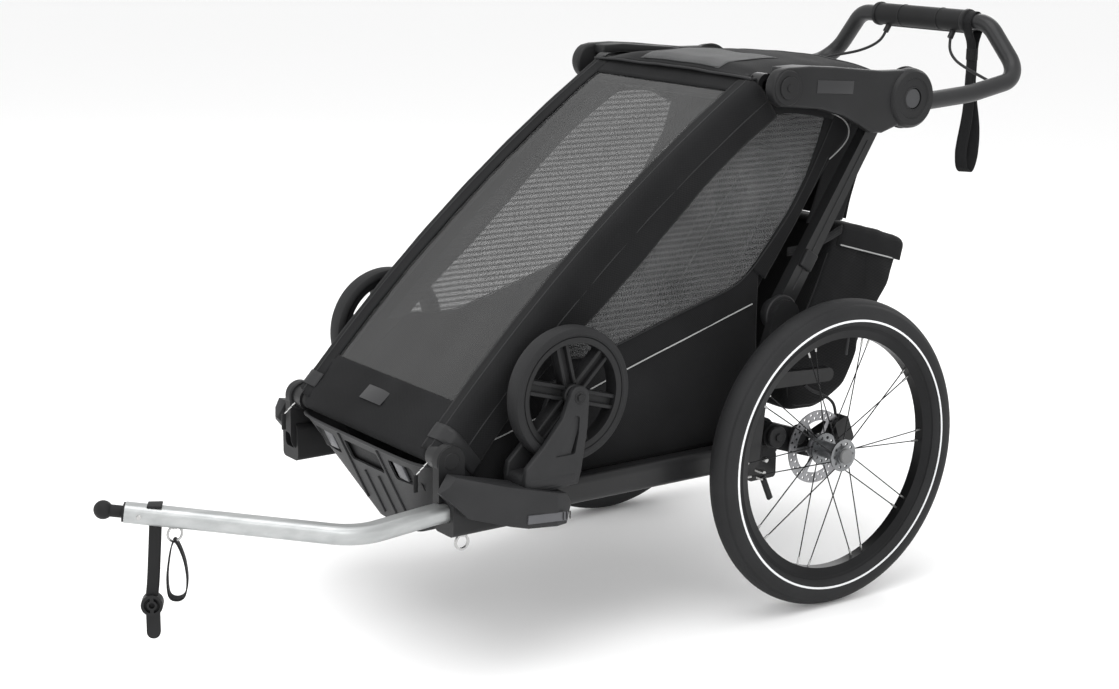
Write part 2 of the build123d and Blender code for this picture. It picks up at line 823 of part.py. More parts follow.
with BuildPart() as caster_fork:
    with BuildSketch(Plane.XY.offset(crown_bottom_z)):
        with Locations((caster_x, kingpin_y)):
            SlotOverall(92, 2 * (fork_gap + fork_leg_width), rotation=90)
    extrude(amount=crown_height)
    for side in (-1, 1):
        extrude(
            link(
                (kingpin_y + 2, crown_bottom_z + 20),
                caster_wheel,
                20,
                13,
                caster_x + side * fork_gap,
            ),
            amount=side * fork_leg_width,
        )
    extrude(
        disc(caster_wheel, caster_radius + 3, caster_x - fork_gap),
        amount=2 * fork_gap,
        mode=Mode.SUBTRACT,
    )
    extrude(
        disc(caster_wheel, caster_pin_radius, caster_x - fork_gap - fork_leg_width),
        amount=2 * (fork_gap + fork_leg_width),
    )
    with BuildSketch(Plane.XY.offset(crown_bottom_z)):
        with Locations((caster_x, kingpin_y)):
            Circle(kingpin_radius)
    extrude(amount=-kingpin_length)
write_pair(caster_fork, "stroller_fork")

# ---- Tow arm on the left

arm_tip = (109, axle_y - 1121, 300)
arm_points = (
    (arm_in_x, receiver_end_y - 14, arm_in_z),
    (arm_in_x, receiver_y - 16, arm_in_z),
    (264, axle_y - 850, arm_in_z + 3),
    arm_tip,
)
with BuildPart() as tow_arm:
    with BuildLine() as arm_line:
        FilletPolyline(*arm_points, radius=(110, 95))
    with BuildSketch(Plane(arm_line.line @ 0, x_dir=(1, 0, 0), z_dir=arm_line.line % 0)):
        RectangleRounded(*arm_section, arm_corner)
        RectangleRounded(arm_section[0] - 5, arm_section[1] - 5, arm_corner - 2.5, mode=Mode.SUBTRACT)
    sweep()
    with BuildSketch(Plane.XY.offset(arm_in_z - arm_section[1])):
        with Locations((arm_in_x, lock_pin_y)):
            Circle(lock_pin_radius)
    extrude(amount=2 * arm_section[1], mode=Mode.SUBTRACT)
write(tow_arm, "tow_arm")

pull = (Vector(*arm_tip) - Vector(*arm_points[2])).normalized()
sideways = Vector(0, 0, 1).cross(pull).normalized()
upright = pull.cross(sideways)
neck_radius = 8.5
ball_radius = 13
neck_length = 29
tip_plane = Plane(origin=arm_tip, x_dir=sideways, z_dir=pull)


def along_arm(back, across_arm=0.0, above=0.0):
    # A point measured back from the arm's tip
    return Vector(*arm_tip) - pull * back + sideways * across_arm + upright * above


with BuildPart() as tow_ball:
    with BuildSketch(tip_plane.offset(-24)):
        RectangleRounded(arm_section[0] - 6, arm_section[1] - 6, arm_corner - 3)
    extrude(amount=24)
    with BuildSketch(tip_plane):
        RectangleRounded(arm_section[0] - 3, arm_section[1] - 3, arm_corner - 2)
    extrude(amount=3)
    with BuildSketch(tip_plane):
        Circle(neck_radius)
    extrude(amount=neck_length)
    with Locations(along_arm(-neck_length)):
        Sphere(ball_radius)
write(tow_ball, "tow_ball")

pin_radius = lock_pin_radius - running_clearance
pin_length = 52
pin_clip_z = receiver_bottom_z - 1
with BuildPart() as hitch_pin:
    with BuildSketch(Plane.XY.offset(pin_clip_z)):
        with Locations((arm_in_x, lock_pin_y)):
            Circle(pin_radius)
    extrude(amount=pin_length)
    with BuildSketch(Plane.XY.offset(pin_clip_z)):
        with Locations((arm_in_x, lock_pin_y)):
            Circle(8)
    extrude(amount=-6)
    with BuildSketch(Plane.YZ.offset(arm_in_x - 2)):
        with Locations((lock_pin_y, pin_clip_z - 16)):
            Circle(12)
            Circle(9, mode=Mode.SUBTRACT)
    extrude(amount=4)
write(hitch_pin, "hitch_pin")

# The rubber retainer wraps the arm and carries a quarter-turn lock at its foot
retainer_back = 36
retainer_length = 96
retainer_size = (18, 13)
retainer_top = along_arm(retainer_back, 0, -arm_section[1] / 2 - free_clearance)
retainer_plane = Plane(origin=retainer_top, x_dir=sideways, z_dir=(0, 0, -1))
lock_axis = Vector(sideways.X, sideways.Y, 0).normalized()
lock_radius = 15
lock_half = 9
lock_bore_radius = 4
lock_lever_length = 46
lock_centre = retainer_top - Vector(0, 0, retainer_length + lock_radius + 3) + pull * 2
lock_plane = Plane(origin=lock_centre, x_dir=(0, 0, 1), z_dir=lock_axis)
with BuildPart() as retainer_strap:
    with BuildSketch(retainer_plane.offset(2.5)):
        RectangleRounded(*retainer_size, 4)
    extrude(amount=retainer_length)
    with BuildSketch(Plane(origin=along_arm(retainer_back + 9), x_dir=sideways, z_dir=pull)):
        RectangleRounded(arm_section[0] + 9, arm_section[1] + 9, arm_corner + 4)
        RectangleRounded(
            arm_section[0] + 2 * free_clearance,
            arm_section[1] + 2 * free_clearance,
            arm_corner + free_clearance,
            mode=Mode.SUBTRACT,
        )
    extrude(amount=18)
    with BuildSketch(lock_plane.offset(lock_half + free_clearance)):
        Circle(7)
        with Locations((lock_radius, 0)):
            Circle(6)
        make_hull()
    extrude(amount=4)
    with BuildSketch(lock_plane.offset(-lock_half)):
        Circle(lock_bore_radius)
    extrude(amount=2 * lock_half + free_clearance)
write(retainer_strap, "retainer_strap")

with BuildPart() as quarter_turn_lock:
    with BuildSketch(lock_plane.offset(-lock_half)):
        Circle(lock_radius)
        Circle(lock_radius - 4, mode=Mode.SUBTRACT)
        Rectangle(2 * lock_radius - 4, 5)
        Circle(lock_bore_radius + 3)
        Circle(lock_bore_radius + running_clearance, mode=Mode.SUBTRACT)
    extrude(amount=2 * lock_half)
    with BuildSketch(lock_plane.offset(-lock_half)):
        with Locations((-lock_lever_length / 2 - 6, 0)):
            SlotOverall(lock_lever_length, 19)
        Circle(lock_radius - 2, mode=Mode.SUBTRACT)
    extrude(amount=6)
write(quarter_turn_lock, "quarter_turn_lock")

ring_back = 66
ring_wire = 2.2
ring_drop = 24
strap_width = 19
strap_drop = 62
strap_half = 9
strap_thickness = 3
with BuildPart() as safety_strap:
    with BuildSketch(Plane(origin=along_arm(ring_back, 0, -arm_section[1] / 2 - 0.3), z_dir=-upright)):
        Circle(4)
    extrude(amount=7)
    ring_top = along_arm(ring_back, 0, -arm_section[1] / 2) - Vector(0, 0, 6)
    ring_plane = Plane(origin=ring_top - pull * strap_width / 2, x_dir=sideways, z_dir=pull)
    with BuildSketch(ring_plane):
        with Locations((0, -ring_drop / 2)):
            RectangleRounded(2 * strap_half + 6, ring_drop, 7)
            RectangleRounded(2 * strap_half, ring_drop - 6, 5, mode=Mode.SUBTRACT)
    extrude(amount=strap_width)
    with BuildSketch(ring_plane):
        with Locations((0, -ring_drop - strap_drop / 2 + 1)):
            RectangleRounded(2 * strap_half + 2 * strap_thickness, strap_drop, 11)
            RectangleRounded(2 * strap_half, strap_drop - 2 * strap_thickness, 8, mode=Mode.SUBTRACT)
    extrude(amount=strap_width)
write(safety_strap, "safety_strap")

# ---- Seat and harness

seat_half = 160
seat_points = ((axle_y - 430, 296), (axle_y - 430, 330), (axle_y - 150, 338), (axle_y - 150, 300))
with BuildPart() as seat_base:
    extrude(side_outline(seat_points, -seat_half, 10), amount=2 * seat_half)
write(seat_base, "seat_base")

strut_angle = atan2(strut_top[1] - rear_pivot[1], strut_top[0] - rear_pivot[0])


def off_strut(up, ahead):
    # A point in the side view, up the strut's line from the rear pivot and this far ahead of it
    return (
        rear_pivot[0] + up * cos(strut_angle) - ahead * sin(strut_angle),
        rear_pivot[1] + up * sin(strut_angle) + ahead * cos(strut_angle),
    )


back_points = (off_strut(-176, 38), off_strut(-176, 64), off_strut(262, 64), off_strut(262, 38))
with BuildPart() as seat_back:
    extrude(side_outline(back_points, -seat_half, 8), amount=2 * seat_half)
write(seat_back, "seat_back")

harness_x = 52
harness_width = 38
harness_points = (off_strut(-60, 65), off_strut(-60, 73), off_strut(205, 73), off_strut(205, 65))
buckle = (axle_y - 262, 362)
with BuildPart() as harness:
    for side in (-1, 1):
        extrude(
            side_outline(harness_points, side * harness_x - harness_width / 2, 3),
            amount=harness_width,
        )
    with BuildSketch(Plane.XZ.offset(-buckle[0])):
        with Locations((0, buckle[1])):
            RectangleRounded(52, 44, 12)
    extrude(amount=16)
write(harness, "harness")

# ---- Fabric walls, held by the frame

side_points = (
    (axle_y - 560, 292),
    on_bow(70, -24),
    on_bow(bow_length / 2, -24),
    on_bow(bow_length - 60, -24),
    (top_pivot[0] + 60, top_pivot[1] - 36),
    off_strut(330, 20),
    off_strut(-60, 20),
    (axle_y - 122, 292),
)
with BuildPart() as side_panel:
    extrude(side_outline(side_points, panel_x - 2), amount=2)
write_pair(side_panel, "side_panel")

rear_points = (off_strut(-160, 14), off_strut(-160, 17), off_strut(318, 17), off_strut(318, 14))
with BuildPart() as rear_panel:
    extrude(side_outline(rear_points, 1 - panel_x + 2), amount=2 * (panel_x - 3))
write(rear_panel, "rear_panel")

bag_half = 176
bag_wall = 3
bag_outline = (
    (axle_y + 108, 590),
    (axle_y + 250, 548),
    (axle_y + 244, 520),
    (axle_y + 214, 452),
    (axle_y + 160, 386),
    (axle_y + 140, 310),
    (axle_y + 84, 284),
    (axle_y + 8, 290),
    (axle_y + 8, 372),
)
with BuildPart() as cargo_bag:
    extrude(side_outline(bag_outline, -bag_half), amount=2 * bag_half)
    offset(amount=-bag_wall, openings=cargo_bag.faces().sort_by(Axis.Z)[-1])
write(cargo_bag, "cargo_bag")

lid_hinge = (bag_outline[0][0] - 2, bag_outline[0][1] + 4)
lid_tip = (bag_outline[1][0] + 7, bag_outline[1][1] + 3)
lid_angle = atan2(lid_tip[1] - lid_hinge[1], lid_tip[0] - lid_hinge[0])
lid_skirt = 38
lid_half = bag_half + 6


def off_lid(along, above):
    return (
        lid_hinge[0] + along * cos(lid_angle) - above * sin(lid_angle),
        lid_hinge[1] + along * sin(lid_angle) + above * cos(lid_angle),
    )


lid_length = hypot(lid_tip[0] - lid_hinge[0], lid_tip[1] - lid_hinge[1])
with BuildPart() as cargo_lid:
    extrude(
        side_outline(
            (off_lid(0, 0), off_lid(0, 5), off_lid(lid_length, 5), off_lid(lid_length, 0)),
            -lid_half,
        ),
        amount=2 * lid_half,
    )
    for x in (-lid_half, lid_half - 3):
        extrude(
            side_outline(
                (off_lid(26, 0), off_lid(lid_length, 0), off_lid(lid_length - 4, -lid_skirt), off_lid(40, -lid_skirt)),
                x,
            ),
            amount=3,
        )
write(cargo_lid, "cargo_lid")

reflector_z = 494
reflector_slope = (bag_outline[2][1] - bag_outline[3][1]) / (bag_outline[2][0] - bag_outline[3][0])
reflector_y = bag_outline[3][0] + (reflector_z - bag_outline[3][1]) / reflector_slope + free_clearance
with BuildPart() as reflectors:
    for x in (-128, 128):
        with BuildSketch(Plane(origin=(x, reflector_y, reflector_z), z_dir=(0, reflector_slope, -1))):
            RectangleRounded(46, 26, 4)
        extrude(amount=6)
write(reflectors, "rear_reflectors")
print("parts written")
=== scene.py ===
import bpy
import math
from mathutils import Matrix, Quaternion, Vector


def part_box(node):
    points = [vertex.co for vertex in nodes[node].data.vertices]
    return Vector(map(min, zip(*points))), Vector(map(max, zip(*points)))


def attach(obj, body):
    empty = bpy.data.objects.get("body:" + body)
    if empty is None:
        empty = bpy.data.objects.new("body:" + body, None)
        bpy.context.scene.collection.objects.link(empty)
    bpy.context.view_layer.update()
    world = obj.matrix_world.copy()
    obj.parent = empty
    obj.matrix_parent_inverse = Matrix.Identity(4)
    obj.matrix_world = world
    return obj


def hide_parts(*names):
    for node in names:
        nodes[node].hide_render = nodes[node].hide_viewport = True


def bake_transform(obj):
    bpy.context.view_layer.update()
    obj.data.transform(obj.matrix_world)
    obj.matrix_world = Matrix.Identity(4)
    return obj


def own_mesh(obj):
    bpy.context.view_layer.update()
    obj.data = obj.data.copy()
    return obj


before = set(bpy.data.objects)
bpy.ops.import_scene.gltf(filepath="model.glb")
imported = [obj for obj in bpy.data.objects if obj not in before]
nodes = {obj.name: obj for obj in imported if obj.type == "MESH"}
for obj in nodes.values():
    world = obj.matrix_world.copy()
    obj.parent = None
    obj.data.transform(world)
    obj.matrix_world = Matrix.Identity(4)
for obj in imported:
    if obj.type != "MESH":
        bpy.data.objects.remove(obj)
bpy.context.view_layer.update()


def middleOf(node):
    low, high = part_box(node)
    return (low + high) / 2


# Distances along the trailer are measured from the rear axle, which the frame gives
axleY = middleOf("tyre_left").y
axleZ = middleOf("tyre_left").z
wheelX = middleOf("tyre_left").x
tyreRadius = axleZ

frameLine = dict(front=(-0.676, 0.328), top=(-0.091, 0.83), bow=0.027, pillarX=0.2)
hubCentre = (0.172, 0.8)
rearPivot = (-0.07, 0.471)
barHigh = (0.455, 0.902)
casterCentre = (-0.493, 0.408)
casterX = 0.258


def at(x, y, z):
    # x from the middle, y back from the rear axle, z up from the ground
    return Vector((x, axleY + y, z))


# ---- Making pieces

def clearSelection():
    if bpy.context.object and bpy.context.object.mode != "OBJECT":
        bpy.ops.object.mode_set(mode="OBJECT")
    bpy.ops.object.select_all(action="DESELECT")


def newest(name):
    piece = bpy.context.active_object
    piece.name = name
    piece.data.name = name
    return piece


def choose(piece):
    clearSelection()
    piece.select_set(True)
    bpy.context.view_layer.objects.active = piece


def edit(piece):
    choose(piece)
    bpy.ops.object.mode_set(mode="EDIT")
    bpy.ops.mesh.select_all(action="SELECT")


def doneEditing():
    bpy.ops.object.mode_set(mode="OBJECT")


def faceOutwards(piece):
    edit(piece)
    bpy.ops.mesh.remove_doubles(threshold=0.00002)
    bpy.ops.mesh.normals_make_consistent(inside=False)
    doneEditing()


def smooth(piece, angle=35):
    choose(piece)
    bpy.ops.object.shade_smooth_by_angle(angle=math.radians(angle))


def modify(piece, kind, **settings):
    choose(piece)
    modifier = piece.modifiers.new(kind.title(), kind)
    for key, value in settings.items():
        setattr(modifier, key, value)
    bpy.ops.object.modifier_apply(modifier=modifier.name)


def roundEdges(piece, width, segments=3, angle=35):
    modify(piece, "BEVEL", width=width, segments=segments, limit_method="ANGLE",
           angle_limit=math.radians(angle), harden_normals=False)
    smooth(piece, angle)


def thicken(piece, wall, offset=0):
    modify(piece, "SOLIDIFY", thickness=wall, offset=offset, use_even_offset=True)


def subdivide(piece, levels=1):
    modify(piece, "SUBSURF", levels=levels, render_levels=levels)
    smooth(piece, 180)


def moved(piece, vector):
    edit(piece)
    bpy.ops.transform.translate(value=vector)
    doneEditing()
    return piece


def turned(piece, angle, axis, centre):
    # With no window the operator turns the other way, so the angle is given its other sign
    edit(piece)
    bpy.ops.transform.rotate(value=-angle, orient_axis=axis, center_override=centre)
    doneEditing()
    return piece


def copyOf(piece, name):
    choose(piece)
    bpy.ops.object.duplicate(linked=False)
    return newest(name)


def mirrored(piece, name):
    other = copyOf(piece, name)
    edit(other)
    bpy.ops.transform.resize(value=(-1, 1, 1), center_override=(0, 0, 0))
    bpy.ops.mesh.flip_normals()
    doneEditing()
    return other


def joined(name, pieces):
    clearSelection()
    for piece in pieces:
        piece.select_set(True)
    bpy.context.view_layer.objects.active = pieces[0]
    bpy.ops.object.join()
    return newest(name)


def slab(name, outline, x0, x1, bevel=0.0, segments=3):
    # A plate across the trailer, from its outline in the side view
    clearSelection()
    bpy.ops.mesh.primitive_circle_add(vertices=len(outline), radius=1, fill_type="NGON")
    piece = newest(name)
    for vertex, (y, z) in zip(piece.data.vertices, outline):
        vertex.co = at(x0, y, z)
    edit(piece)
    bpy.ops.mesh.extrude_region_move(TRANSFORM_OT_translate={"value": (x1 - x0, 0, 0)})
    doneEditing()
    faceOutwards(piece)
    if bevel:
        roundEdges(piece, bevel, segments)
    return piece


def turnedShape(name, profile, centre, steps=48):
    # profile is (x, radius) all round the section, and centre is the axle's (y, z)
    clearSelection()
    bpy.ops.mesh.primitive_circle_add(vertices=len(profile), radius=1, fill_type="NOTHING")
    piece = newest(name)
    for vertex, (x, radius) in zip(piece.data.vertices, profile):
        vertex.co = at(x, centre[0], centre[1] + radius)
    edit(piece)
    bpy.ops.mesh.spin(steps=steps, angle=2 * math.pi, center=at(0, *centre), axis=(1, 0, 0))
    bpy.ops.mesh.remove_doubles(threshold=0.00002)
    bpy.ops.mesh.dissolve_degenerate(threshold=0.00002)
    bpy.ops.mesh.normals_make_consistent(inside=False)
    doneEditing()
    smooth(piece)
    return piece


def disc(name, centre, radius, x0, x1, steps=48, edge=0.001):
    low, high = sorted((x0, x1))
    edge = min(edge, (high - low) / 2, radius / 2)
    profile = [(low, 0), (low, radius - edge), (low + edge, radius), (high - edge, radius), (high, radius - edge),
               (high, 0)]
    return turnedShape(name, profile, centre, steps)


def rod(name, start, end, radius, sides=12):
    start, end = Vector(start), Vector(end)
    clearSelection()
    bpy.ops.mesh.primitive_cylinder_add(vertices=sides, radius=radius, depth=(end - start).length)
    piece = newest(name)
    turn = (end - start).to_track_quat("Z", "Y").to_matrix().to_4x4()
    piece.data.transform(turn)
    piece.data.transform(piece.matrix_world)
    moved(piece, (start + end) / 2)
    smooth(piece)
    return piece


def box(name, centre, size, bevel=0.001, segments=3):
    clearSelection()
    bpy.ops.mesh.primitive_cube_add(size=1)
    piece = newest(name)
    edit(piece)
    bpy.ops.transform.resize(value=size)
    bpy.ops.transform.translate(value=centre)
    doneEditing()
    roundEdges(piece, bevel, segments)
    return piece


def curvedSheet(name, place, columns, rows, width, length):
    # A flat grid laid in its place; place(across, along) gives a point for two shares from 0 to 1
    clearSelection()
    bpy.ops.mesh.primitive_grid_add(x_subdivisions=columns, y_subdivisions=rows, size=2)
    piece = newest(name)
    for vertex in piece.data.vertices:
        vertex.co = place((vertex.co.x + 1) / 2, (vertex.co.y + 1) / 2)
    for corner in piece.data.uv_layers.active.data:
        corner.uv = (corner.uv[0] * width, corner.uv[1] * length)
    smooth(piece, 180)
    return piece


def lineThrough(name, points, radius, sides=3, closed=False):
    # A sewn-in piping or a bent wire, along a smooth line through its control points
    line = bpy.data.curves.new(name, "CURVE")
    line.dimensions = "3D"
    spline = line.splines.new("NURBS")
    spline.points.add(len(points) - 1)
    for control, point in zip(spline.points, points):
        control.co = (*point, 1)
    spline.use_cyclic_u = closed
    spline.order_u = 3
    spline.use_endpoint_u = not closed
    line.bevel_depth = radius
    line.bevel_resolution = sides
    line.resolution_u = 8
    line.use_fill_caps = True
    piece = bpy.data.objects.new(name, line)
    bpy.context.scene.collection.objects.link(piece)
    return piece


def asMesh(piece):
    choose(piece)
    bpy.ops.object.convert(target="MESH")
    piece = newest(piece.name)
    smooth(piece, 60)
    return piece


def finished(piece, body, material, slot=None, replaces=()):
    piece.data.materials.clear()
    piece.data.materials.append(materials[material])
    if body:
        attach(piece, body)
    if replaces:
        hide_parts(*replaces)
    return piece


def softened(node, name, width, angle=40):
    # A CAD node's own shape, merged and with its edges rounded
    piece = copyOf(nodes[node], name)
    piece.parent = None
    for key in list(piece.keys()):
        del piece[key]
    edit(piece)
    bpy.ops.mesh.remove_doubles(threshold=0.00001)
    bpy.ops.mesh.dissolve_limited(angle_limit=math.radians(2))
    doneEditing()
    roundEdges(piece, width, 2, angle)
    return piece


# ---- Finishes

def newGroup(name, inputs, outputs):
    group = bpy.data.node_groups.new(name, "ShaderNodeTree")
    for label, value in inputs:
        kind = "NodeSocketVector" if value is None else "NodeSocketFloat"
        socket = group.interface.new_socket(label, in_out="INPUT", socket_type=kind)
        if value is not None:
            socket.default_value = value
    for label in outputs:
        group.interface.new_socket(label, in_out="OUTPUT", socket_type="NodeSocketFloat")
    return group, group.nodes.new("NodeGroupInput"), group.nodes.new("NodeGroupOutput")


def mathNode(tree, operation, first, second=None, third=None):
    node = tree.nodes.new("ShaderNodeMath")
    node.operation = operation
    for socket, value in zip(node.inputs, (first, second, third)):
        if value is None:
            continue
        if isinstance(value, (int, float)):
            socket.default_value = value
        else:
            tree.links.new(value, socket)
    return node.outputs[0]


def buildWeave():
    # Crossing threads: Height is their relief and Gap is 1 in the holes between them
    group, source, result = newGroup("crossing threads", [("Vector", None), ("Across", 1400), ("Along", 1400)],
                                     ["Height", "Gap"])
    split = group.nodes.new("ShaderNodeSeparateXYZ")
    group.links.new(source.outputs["Vector"], split.inputs[0])
    warp = mathNode(group, "SINE", mathNode(group, "MULTIPLY", split.outputs["X"], source.outputs["Across"]))
    weft = mathNode(group, "SINE", mathNode(group, "MULTIPLY", split.outputs["Y"], source.outputs["Along"]))
    both = mathNode(group, "MULTIPLY", warp, weft)
    group.links.new(mathNode(group, "MULTIPLY_ADD", both, 0.5, 0.5), result.inputs["Height"])
    ridge = mathNode(group, "ADD", mathNode(group, "ABSOLUTE", warp), mathNode(group, "ABSOLUTE", weft))
    group.links.new(mathNode(group, "GREATER_THAN", ridge, 1.35), result.inputs["Gap"])
    return group


def buildGrain():
    # Fine moulded grain, with a slow drift in shade over the surface
    group, source, result = newGroup("moulded grain", [("Vector", None), ("Scale", 900), ("Drift", 6)],
                                     ["Height", "Shade"])
    for label, scaleInput, detail, output in (("fine", "Scale", 2, "Height"), ("slow", "Drift", 4, "Shade")):
        noise = group.nodes.new("ShaderNodeTexNoise")
        noise.label = label
        noise.inputs["Detail"].default_value = detail
        group.links.new(source.outputs["Vector"], noise.inputs["Vector"])
        group.links.new(source.outputs[scaleInput], noise.inputs["Scale"])
        group.links.new(noise.outputs["Fac"], result.inputs[output])
    return group


groups = {"weave": buildWeave(), "grain": buildGrain()}


def placeGroup(tree, kind, vector, **values):
    node = tree.nodes.new("ShaderNodeGroup")
    node.node_tree = groups[kind]
    tree.links.new(vector, node.inputs["Vector"])
    for key, value in values.items():
        node.inputs[key].default_value = value
    return node


def rampNode(tree, factor, low, high, start=0.3, end=0.7):
    ramp = tree.nodes.new("ShaderNodeValToRGB")
    ramp.color_ramp.elements[0].position = start
    ramp.color_ramp.elements[1].position = end
    ramp.color_ramp.elements[0].color = (*low, 1)
    ramp.color_ramp.elements[1].color = (*high, 1)
    tree.links.new(factor, ramp.inputs[0])
    return ramp.outputs["Color"]


def bumpNode(tree, height, strength, distance):
    bump = tree.nodes.new("ShaderNodeBump")
    bump.inputs["Strength"].default_value = strength
    bump.inputs["Distance"].default_value = distance
    tree.links.new(height, bump.inputs["Height"])
    return bump.outputs["Normal"]


def newMaterial(name):
    material = bpy.data.materials.new(name)
    material.use_nodes = True
    tree = material.node_tree
    return material, tree, tree.nodes["Principled BSDF"], tree.nodes.new("ShaderNodeTexCoord")


def moulded(name, low, high, roughness, grain=700, relief=0.12, metallic=0.0, coat=0.0, stretch=(1, 1, 1),
            glint=0.22):
    # Plastic, rubber, paint and metal: a grain in the relief and a drift in the shade
    material, tree, shader, place = newMaterial(name)
    mapping = tree.nodes.new("ShaderNodeMapping")
    mapping.inputs["Scale"].default_value = stretch
    tree.links.new(place.outputs["Object"], mapping.inputs["Vector"])
    group = placeGroup(tree, "grain", mapping.outputs["Vector"], Scale=grain, Drift=9)
    tree.links.new(rampNode(tree, group.outputs["Shade"], low, high), shader.inputs["Base Color"])
    rough = mathNode(tree, "MULTIPLY_ADD", group.outputs["Height"], 0.16, roughness - 0.08)
    tree.links.new(rough, shader.inputs["Roughness"])
    tree.links.new(bumpNode(tree, group.outputs["Height"], relief, 0.0006), shader.inputs["Normal"])
    shader.inputs["Metallic"].default_value = metallic
    shader.inputs["Specular IOR Level"].default_value = glint
    shader.inputs["Coat Weight"].default_value = coat
    shader.inputs["Coat Roughness"].default_value = 0.25
    return material


def woven(name, low, high, across=1600, along=1600, relief=0.35, sheen=0.04, roughness=0.85, see=None, solid=1.0):
    # Cloth on a piece's own UV map, which is in metres; see and solid are how much the holes and the threads of an open mesh cover
    material, tree, shader, place = newMaterial(name)
    threads = placeGroup(tree, "weave", place.outputs["UV"], Across=across, Along=along)
    grain = placeGroup(tree, "grain", place.outputs["Object"], Scale=260, Drift=7)
    shade = mathNode(tree, "MULTIPLY_ADD", threads.outputs["Height"], 0.35,
                     mathNode(tree, "MULTIPLY", grain.outputs["Shade"], 0.8))
    tree.links.new(rampNode(tree, shade, low, high, 0.25, 0.85), shader.inputs["Base Color"])
    height = mathNode(tree, "MULTIPLY_ADD", grain.outputs["Height"], 0.4, threads.outputs["Height"])
    tree.links.new(bumpNode(tree, height, relief, 0.0005), shader.inputs["Normal"])
    shader.inputs["Roughness"].default_value = roughness
    shader.inputs["Sheen Weight"].default_value = sheen
    shader.inputs["Sheen Roughness"].default_value = 0.4
    shader.inputs["Specular IOR Level"].default_value = 0.1
    if see is not None:
        cover = mathNode(tree, "MULTIPLY_ADD", threads.outputs["Gap"], see - solid, solid)
        tree.links.new(cover, shader.inputs["Alpha"])
    return material


def clearFilm(name, colour, cover, roughness):
    material, tree, shader, place = newMaterial(name)
    grain = placeGroup(tree, "grain", place.outputs["Object"], Scale=4, Drift=3)
    tree.links.new(bumpNode(tree, grain.outputs["Height"], 0.25, 0.004), shader.inputs["Normal"])
    tree.links.new(mathNode(tree, "MULTIPLY_ADD", grain.outputs["Shade"], 0.06, cover - 0.03), shader.inputs["Alpha"])
    shader.inputs["Base Color"].default_value = (*colour, 1)
    shader.inputs["Roughness"].default_value = roughness
    shader.inputs["Coat Weight"].default_value = 0.25
    shader.inputs["Coat Roughness"].default_value = 0.08
    return material


def grey(value, blue=1.06):
    return (value, value * 1.01, value * blue)


materials = {
    "plastic": moulded("fine grained black plastic", grey(0.009), grey(0.014), 0.48, 800, 0.16),
    "lowerPlastic": moulded("dark grey bumper plastic", grey(0.014), grey(0.021), 0.5, 700, 0.18),
    "paint": moulded("satin black paint", grey(0.008), grey(0.012), 0.36, 1500, 0.05, 0.0, 0.15),
    "barPaint": moulded("satin bar coating", grey(0.014), grey(0.019), 0.42, 1200, 0.08, 0.0, 0.1),
    "grip": moulded("soft grip rubber", grey(0.007), grey(0.011), 0.62, 900, 0.3),
    "tyreRubber": moulded("tyre rubber", grey(0.013), grey(0.019), 0.68, 500, 0.3),
    "smallTyre": moulded("foamed wheel rubber", grey(0.012), grey(0.018), 0.66, 600, 0.3),
    "anodised": moulded("black anodised rim", grey(0.01), grey(0.016), 0.34, 1500, 0.05, 0.6),
    "spokeBlack": moulded("blackened spoke steel", grey(0.012), grey(0.02), 0.35, 900, 0.05, 0.7),
    "brushed": moulded("brushed aluminium", (0.36, 0.37, 0.37), (0.46, 0.47, 0.47), 0.42, 420, 0.08, 0.9, 0.0,
                       (8, 0.6, 8)),
    "hubAlloy": moulded("turned hub alloy", (0.17, 0.175, 0.18), (0.25, 0.255, 0.26), 0.3, 600, 0.06, 0.95),
    "rotorSteel": moulded("ground rotor steel", (0.24, 0.24, 0.25), (0.34, 0.34, 0.35), 0.32, 1400, 0.1, 0.95),
    "boltSteel": moulded("zinc plated steel", (0.36, 0.36, 0.36), (0.48, 0.48, 0.47), 0.28, 900, 0.05, 0.95),
    "capGrey": moulded("grey cap plastic", grey(0.13, 1.02), grey(0.17, 1.02), 0.42, 700, 0.08),
    "buttonGrey": moulded("charcoal button plastic", grey(0.04), grey(0.055), 0.4, 700, 0.08),
    "badge": moulded("blank badge", grey(0.022), grey(0.028), 0.35, 900, 0.03, 0.0, 0.1),
    "reflectGrey": moulded("grey reflector film", grey(0.07, 1.08), grey(0.1, 1.08), 0.36, 1600, 0.2, 0.2, 0.1),
    "reflectWhite": moulded("white reflective band", (0.72, 0.73, 0.74), (0.8, 0.81, 0.82), 0.45, 1600, 0.1),
    "reflectRed": moulded("red reflector", (0.35, 0.01, 0.01), (0.5, 0.02, 0.015), 0.2, 500, 0.4, 0.0, 0.8),
    "blackCloth": woven("tight black cloth", grey(0.006), grey(0.015)),
    "bagCloth": woven("black bag cloth", grey(0.006), grey(0.014), 1200, 1200, 0.5, 0.05, 0.8),
    "greyCloth": woven("padded grey cloth", grey(0.03, 1.03), grey(0.06, 1.03), 1300, 1300, 0.5, 0.05),
    "ventMesh": woven("grey vent mesh", grey(0.06, 1.02), grey(0.12, 1.02), 1900, 1100, 0.6, 0.05, 0.75, 0.75),
    "sideMesh": woven("open side mesh", grey(0.04, 1.02), grey(0.15, 1.02), 1250, 360, 0.8, 0.05, 0.7, 0.3, 0.72),
    "webbing": woven("ribbed webbing", grey(0.008), grey(0.018), 900, 3600, 0.8, 0.05, 0.75),
    "piping": moulded("light reflective piping", grey(0.3, 1.0), grey(0.38, 1.0), 0.4, 1200, 0.2),
    "darkPiping": moulded("black piping", grey(0.014), grey(0.02), 0.6, 1200, 0.3),
    "film": clearFilm("smoky window film", grey(0.038, 1.02), 0.46, 0.16),
}
print("finishes made:", len(materials))

# ---- CAD pieces that keep their shape

